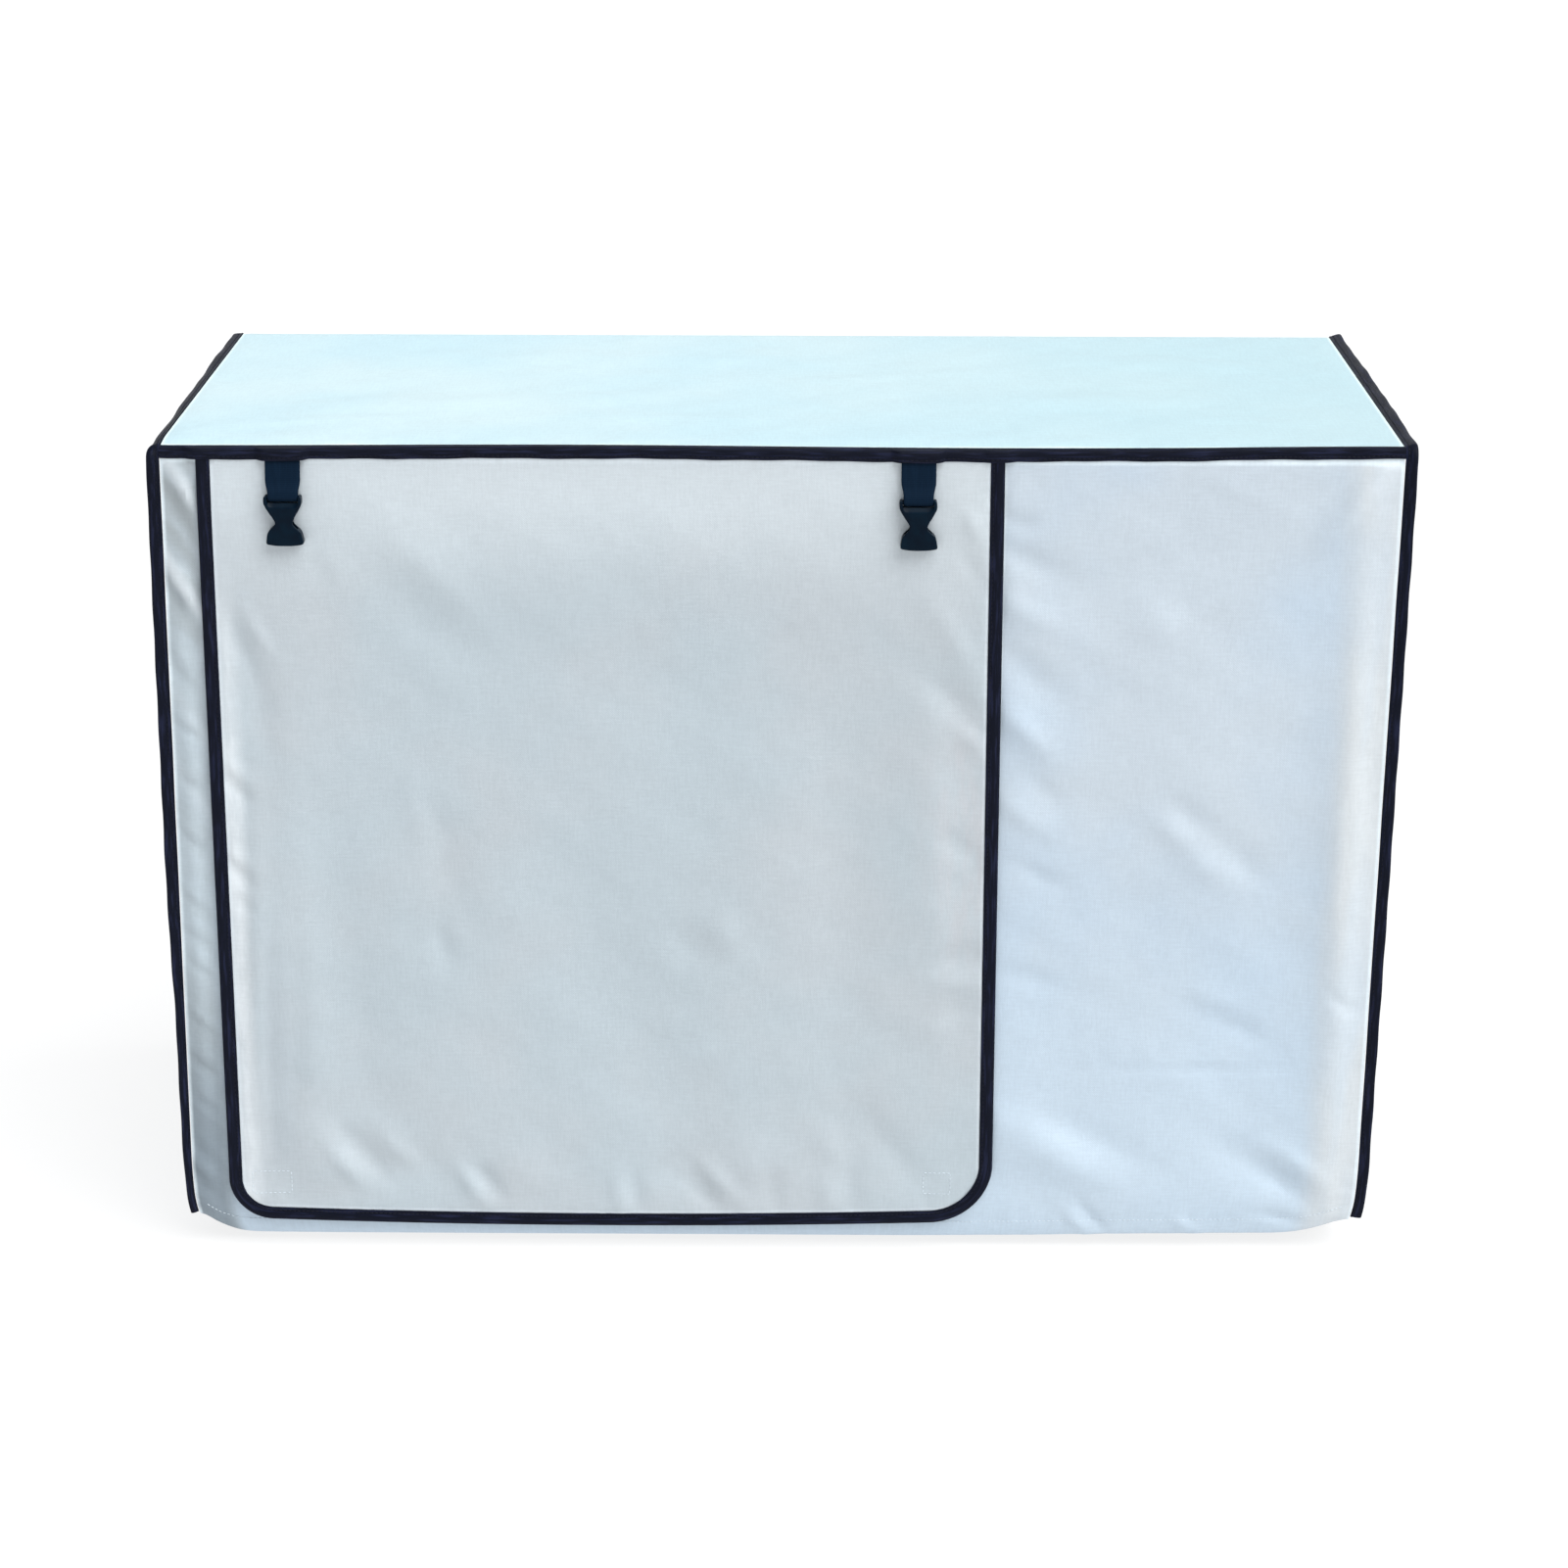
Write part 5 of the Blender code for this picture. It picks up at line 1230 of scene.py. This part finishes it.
def strap_path(bar_z):
    """The middle of the webbing as (forward, z): down the front, under the bar and up the back."""
    apart = STRAP_LAYERS_APART / 2
    loop = BAR_RADIUS + GAP + WEBBING / 2
    parting = LAYERS_PART_ABOVE_BAR
    front = [(apart, z) for z in steps(STRAP_TOP_Z, bar_z + parting, 0.0007)]
    for share in steps(0, 1, 0.1)[1:]:
        z = bar_z + parting - parting * share
        front.append((apart + (loop - apart) * float(ease(share * 1.25)), z))
    path = list(front)
    for angle in np.radians(np.arange(1, 18) * 10):
        path.append((loop * math.cos(angle), bar_z - loop * math.sin(angle)))
    return np.array(path + [(-forward, z) for forward, z in reversed(front)])


def strap(name, strap_x, bar_z):
    """Ribbed webbing folded round the socket's bar."""
    path = strap_path(bar_z)
    way = -quarter_turned(np.gradient(path, axis=0))
    travelled = lengths_along(path)
    narrowing = ease((STRAP_NARROWS_FROM - path[:, 1]) / STRAP_NARROWS_OVER)
    half = (STRAP_WIDTH + (STRAP_WIDTH_AT_BAR - STRAP_WIDTH) * narrowing) / 2
    rib = WEBBING_RIB_DEPTH * (np.sin(travelled * 2 * math.pi / WEBBING_RIB) - 1)
    shares = np.array([-1.0, -0.985, -0.93, -0.8, -0.5, 0.0, 0.5, 0.8, 0.93, 0.985, 1.0])
    full = np.array([0.25, 0.62, 0.9, 0.97, 1.0, 1.0, 1.0, 0.97, 0.9, 0.62, 0.25])
    rings = []
    for face in (1, -1):
        for share, thick in zip(shares[::face], full[::face]):
            out = face * (WEBBING / 2 * thick + rib)
            forward = path[:, 0] + way[:, 0] * out
            z = path[:, 1] + way[:, 1] * out
            y = FRONT_Y - strap_forward(path[:, 1], bar_z) - forward
            rings.append(point(strap_x + half * share, y, z))
    rings = np.stack(rings, 1)
    around = np.concatenate([shares, shares[::-1]]) * STRAP_WIDTH / 2
    return swept(name, rings, WEBBING_FINISH, travelled, around, sharp=70)


# Buckle sockets

# The right half seen from the front: half width, and distance below the ears' tops
SOCKET_SIDE = (
    (0.0097, 0.0050),
    (0.0106, 0.0044),
    (0.0106, 0.0008),
    (0.0110, 0.0),
    (0.0121, 0.0002),
    (0.0127, 0.0012),
    (0.0128, 0.0046),
    (0.0123, 0.0064),
    (0.0108, 0.0094),
    (0.0088, 0.0126),
    (0.0070, 0.0154),
    (0.0059, 0.0178),
    (0.0058, 0.0192),
    (0.0067, 0.0208),
    (0.0087, 0.0226),
    (0.0107, 0.0245),
    (0.0116, 0.0264),
    (0.0121, 0.0292),
    (0.0127, 0.0322),
    (0.0122, 0.0333),
    (0.0100, 0.0338),
    (0.0050, 0.0345),
)
SOCKET_LENGTH = 0.0345
SOCKET_THICK = 0.0078
SOCKET_EDGE = 0.0005
EARS_ABOVE_BAR = 0.0015
LEDGE_DROP = 0.0030
LEDGE_DEEP = 0.0021
LEDGE_HALF, LEDGE_FADE, LEDGE_ABOVE = 0.0108, 0.0014, 0.0070
SOCKET_ASIDE, SOCKET_SLANT = -0.0003, 0.0009 / 0.034
PRONG_SPACE = (0.0190, 0.0046, 0.0215)


def solid_box(name, low, high):
    """A box to cut with."""
    mesh = bpy.data.meshes.new(name)
    work = bmesh.new()
    bmesh.ops.create_cube(work, size=1.0)
    for corner in work.verts:
        corner.co = Vector([a + (b - a) * (c + 0.5) for a, b, c in zip(low, high, corner.co)])
    work.to_mesh(mesh)
    work.free()
    made = bpy.data.objects.new(name, mesh)
    bpy.context.scene.collection.objects.link(made)
    return made


def buckle_socket(name, strap_x, bar_z):
    """The hourglass half of a side-release buckle, with its bar, ledge and prong space."""
    half = np.array(SOCKET_SIDE)
    outline = np.concatenate([half, half[::-1] * np.array([-1, 1])])
    for _ in range(2):
        ahead = np.roll(outline, -1, axis=0)
        outline = np.stack([0.75 * outline + 0.25 * ahead, 0.25 * outline + 0.75 * ahead], 1)
        outline = outline.reshape(-1, 2)
    inward = quarter_turned(np.roll(outline, -1, axis=0) - np.roll(outline, 1, axis=0))
    ledge = ease((LEDGE_HALF - np.abs(outline[:, 0])) / LEDGE_FADE) * (outline[:, 1] < LEDGE_ABOVE)
    top, front = bar_z + EARS_ABOVE_BAR, FRONT_Y - BUCKLE_FORWARD - SOCKET_THICK / 2
    depths = [0.0, 0.00005, 0.00018, 0.00034, SOCKET_EDGE, 0.0013, LEDGE_DEEP, SOCKET_THICK / 2]
    depths += [SOCKET_THICK - depth for depth in (SOCKET_EDGE, 0.00034, 0.00018, 0.00005, 0.0)]
    rings = []
    for depth in depths:
        edge = max(0.0, SOCKET_EDGE - min(depth, SOCKET_THICK - depth))
        inset = SOCKET_EDGE - math.sqrt(SOCKET_EDGE**2 - edge**2)
        spot = outline + inward * inset
        below = spot[:, 1] + ledge * LEDGE_DROP * max(0.0, 1 - depth / LEDGE_DEEP)
        x = strap_x + spot[:, 0] + SOCKET_ASIDE + SOCKET_SLANT * below
        rings.append(point(x, front + depth, top - below))
    count = len(outline)
    index = np.arange(len(rings) * count).reshape(len(rings), count)
    turn = np.roll(index, -1, axis=1)
    faces = np.stack([index[:-1], turn[:-1], turn[1:], index[1:]], -1).reshape(-1, 4).tolist()
    loop = [(n, (n + 1) % count) for n in range(count)]
    for depth, ring in ((0, index[0]), (-1, index[-1])):
        flat = [Vector((spot[0] * 1000, spot[2] * 1000)) for spot in rings[depth]]
        cap = delaunay_2d_cdt(flat, loop, [], 1, 1e-6)
        faces += [[ring[cap[3][corner][0]] for corner in face] for face in cap[2]]
    made = made_object(name, np.concatenate(rings), faces, PLASTIC)
    middle = FRONT_Y - BUCKLE_FORWARD
    wide, thick, deep = PRONG_SPACE
    bottom = top - SOCKET_LENGTH
    prongs = solid_box(
        "prong_space", (strap_x - wide / 2, middle - thick / 2, bottom - 0.01),
        (strap_x + wide / 2, middle + thick / 2, bottom + deep),
    )
    mesh = bpy.data.meshes.new("socket_bar")
    work = bmesh.new()
    bmesh.ops.create_cone(
        work, cap_ends=True, segments=24, radius1=BAR_RADIUS, radius2=BAR_RADIUS, depth=BAR_LENGTH,
        matrix=Matrix.Translation((strap_x, middle, bar_z)) @ Matrix.Rotation(math.pi / 2, 4, "Y"),
    )
    work.to_mesh(mesh)
    work.free()
    bar = bpy.data.objects.new("socket_bar", mesh)
    bpy.context.scene.collection.objects.link(bar)
    for tool, operation in ((prongs, "DIFFERENCE"), (bar, "UNION")):
        cut = made.modifiers.new(tool.name, "BOOLEAN")
        cut.operation = operation
        cut.solver = "EXACT"
        cut.object = tool
    shaped = made.evaluated_get(bpy.context.evaluated_depsgraph_get())
    mesh = bpy.data.meshes.new_from_object(shaped)
    made.modifiers.clear()
    made.data = mesh
    mesh.shade_smooth()
    mesh.set_sharp_from_angle(angle=math.radians(32))
    for tool in (prongs, bar):
        bpy.data.objects.remove(tool)
    return made


# Build the pieces

panels = {
    "front_panel": front_panel(),
    "left_side_panel": side_panel(-1, "left_side_panel_cloth"),
    "right_side_panel": side_panel(1, "right_side_panel_cloth"),
    "top_back_panel": top_back_panel(),
    "flap": flap(),
}
for node, piece in panels.items():
    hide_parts(node)

binding, binding_stitches = flap_binding()
tape, tape_stitches = front_top_tape()
left_fin, left_stitches = side_binding(-1, "left_side_tape", LEFT_FIN, 0.4)
right_fin, right_stitches = side_binding(1, "right_side_tape", RIGHT_FIN, 2.1)
for piece, node in (
    (binding, "flap_binding"),
    (tape, "front_top_tape"),
    (left_fin, "left_side_binding"),
    (right_fin, "right_side_binding"),
):
    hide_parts(node)

for hand, strap_x, bar_z in zip(("left", "right"), STRAP_X, BAR_Z):
    webbing = strap(f"{hand}_strap_webbing", strap_x, bar_z)
    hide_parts(f"{hand}_strap")
    socket = buckle_socket(f"{hand}_buckle_body", strap_x, bar_z)
    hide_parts(f"{hand}_buckle_socket")

# The hem's stitch line, in silver thread
long_hem, short_hem = steps(-0.985, 0.985, 0.006), steps(-0.96, 0.96, 0.012)
for wall, points_at, shares, edge, outwards in (
    ("front", front_points, long_hem, WIDTH, (0, -1, 0)),
    ("back", back_points, long_hem, WIDTH, (0, 1, 0)),
    ("left", partial(side_points, -1), short_hem, DEPTH, (-1, 0, 0)),
    ("right", partial(side_points, 1), short_hem, DEPTH, (1, 0, 0)),
):
    x = shares * WIDTH / 2 if edge == WIDTH else np.full(len(shares), outwards[0] * WIDTH / 2)
    level = hem_z((1 - np.abs(shares)) * edge / 2, x) + HEM_DEPTH - 0.0008
    run = (points_at(shares, level), outwards)
    stitched(f"{wall}_hem_stitches", [run], SILVER_THREAD)

# Stitched squares on the flap, where the fastener's other half is sewn behind
PATCHES = ((0.1030, 0.1223, -0.5325, -0.5487), (-0.3805, -0.3525, -0.5330, -0.5500))
patch_runs = []
for left, right, top, bottom in PATCHES:
    corners = [(left, top), (right, top), (right, bottom), (left, bottom), (left, top)]
    for (x0, z0), (x1, z1) in zip(corners, corners[1:]):
        xs, zs = np.linspace(x0, x1, 12), np.linspace(z0, z1, 12)
        patch_runs.append((point(xs, flap_front(xs, zs), zs), (0, -1, 0)))
patches = stitched("flap_patch_stitches", patch_runs, SILVER_THREAD)

# The studio: a pale floor just under the hem, soft light, and the camera

FLOOR_Z = -HEIGHT - 0.008
FLOOR_REACH = 12.0
FLOOR_GLOW = 0.82
WHITE = (1.0, 1.0, 1.0)
SKY_LEVELS = ((0.10, WHITE), (0.34, (0.31, 0.335, 0.36)))
SKY_STRENGTH = 1.065
SUN_STRENGTH = 4.6
SUN_ANGLE = 60
SUN_FROM = (0.46, -0.34, 0.82)

floor_finish = Finish(bpy.data.materials.new("pale_floor"))
grain = floor_finish.noise(floor_finish.add("ShaderNodeTexCoord", {}, output=3), 3.0, 2.0, 0.5)
floor_colour = floor_finish.mixed(grain, (0.17, 0.17, 0.17), (0.19, 0.19, 0.19))
floor_mesh = bpy.data.meshes.new("floor")
corners = [(x * FLOOR_REACH, y * FLOOR_REACH, FLOOR_Z) for x, y in ((-1, -1), (1, -1), (1, 1), (-1, 1))]
floor_mesh.from_pydata(corners, [], [(0, 1, 2, 3)])
floor_mesh.materials.append(
    floor_finish.done(
        Base_Color=floor_colour, Roughness=0.8, Specular_IOR_Level=0.1,
        Emission_Color=(*WHITE, 1.0), Emission_Strength=FLOOR_GLOW,
    )
)
floor = bpy.data.objects.new("floor", floor_mesh)
bpy.context.scene.collection.objects.link(floor)

sky = Finish(bpy.data.worlds.new("studio"))
height = sky.add("ShaderNodeSeparateXYZ", {}, sky.add("ShaderNodeTexCoord", {}), output=2)
levels = sky.add("ShaderNodeValToRGB", {"stops": SKY_LEVELS}, height)
bpy.context.scene.world = sky.done("Background", Color=levels, Strength=SKY_STRENGTH)
sun = bpy.data.lights.new("soft_key", "SUN")
sun.energy = SUN_STRENGTH
sun.angle = math.radians(SUN_ANGLE)
sun.color = (1.0, 1.0, 0.99)
sun_light = bpy.data.objects.new("soft_key", sun)
sun_light.rotation_euler = Vector(SUN_FROM).to_track_quat("Z", "Y").to_euler()
bpy.context.scene.collection.objects.link(sun_light)
bpy.context.scene.view_settings.view_transform = "Standard"
bpy.context.scene.view_settings.look = "None"

CAMERA_PLACE = (0.018142, -2.530551, 0.547536)
CAMERA_YAW, CAMERA_PITCH, CAMERA_ROLL = -0.006879, 0.324290, 0.002190
CAMERA_LENS = 81.49
level = math.cos(CAMERA_PITCH)
forward = Vector((math.sin(CAMERA_YAW) * level, math.cos(CAMERA_YAW) * level, -math.sin(CAMERA_PITCH)))
lens = bpy.data.cameras.new("photo_camera")
lens.sensor_width = 36.0
lens.lens = CAMERA_LENS
camera = bpy.data.objects.new("photo_camera", lens)
turned = forward.to_track_quat("-Z", "Y").to_matrix().to_4x4() @ Matrix.Rotation(CAMERA_ROLL, 4, "Z")
camera.matrix_world = Matrix.Translation(CAMERA_PLACE) @ turned
bpy.context.scene.collection.objects.link(camera)
bpy.context.scene.camera = camera
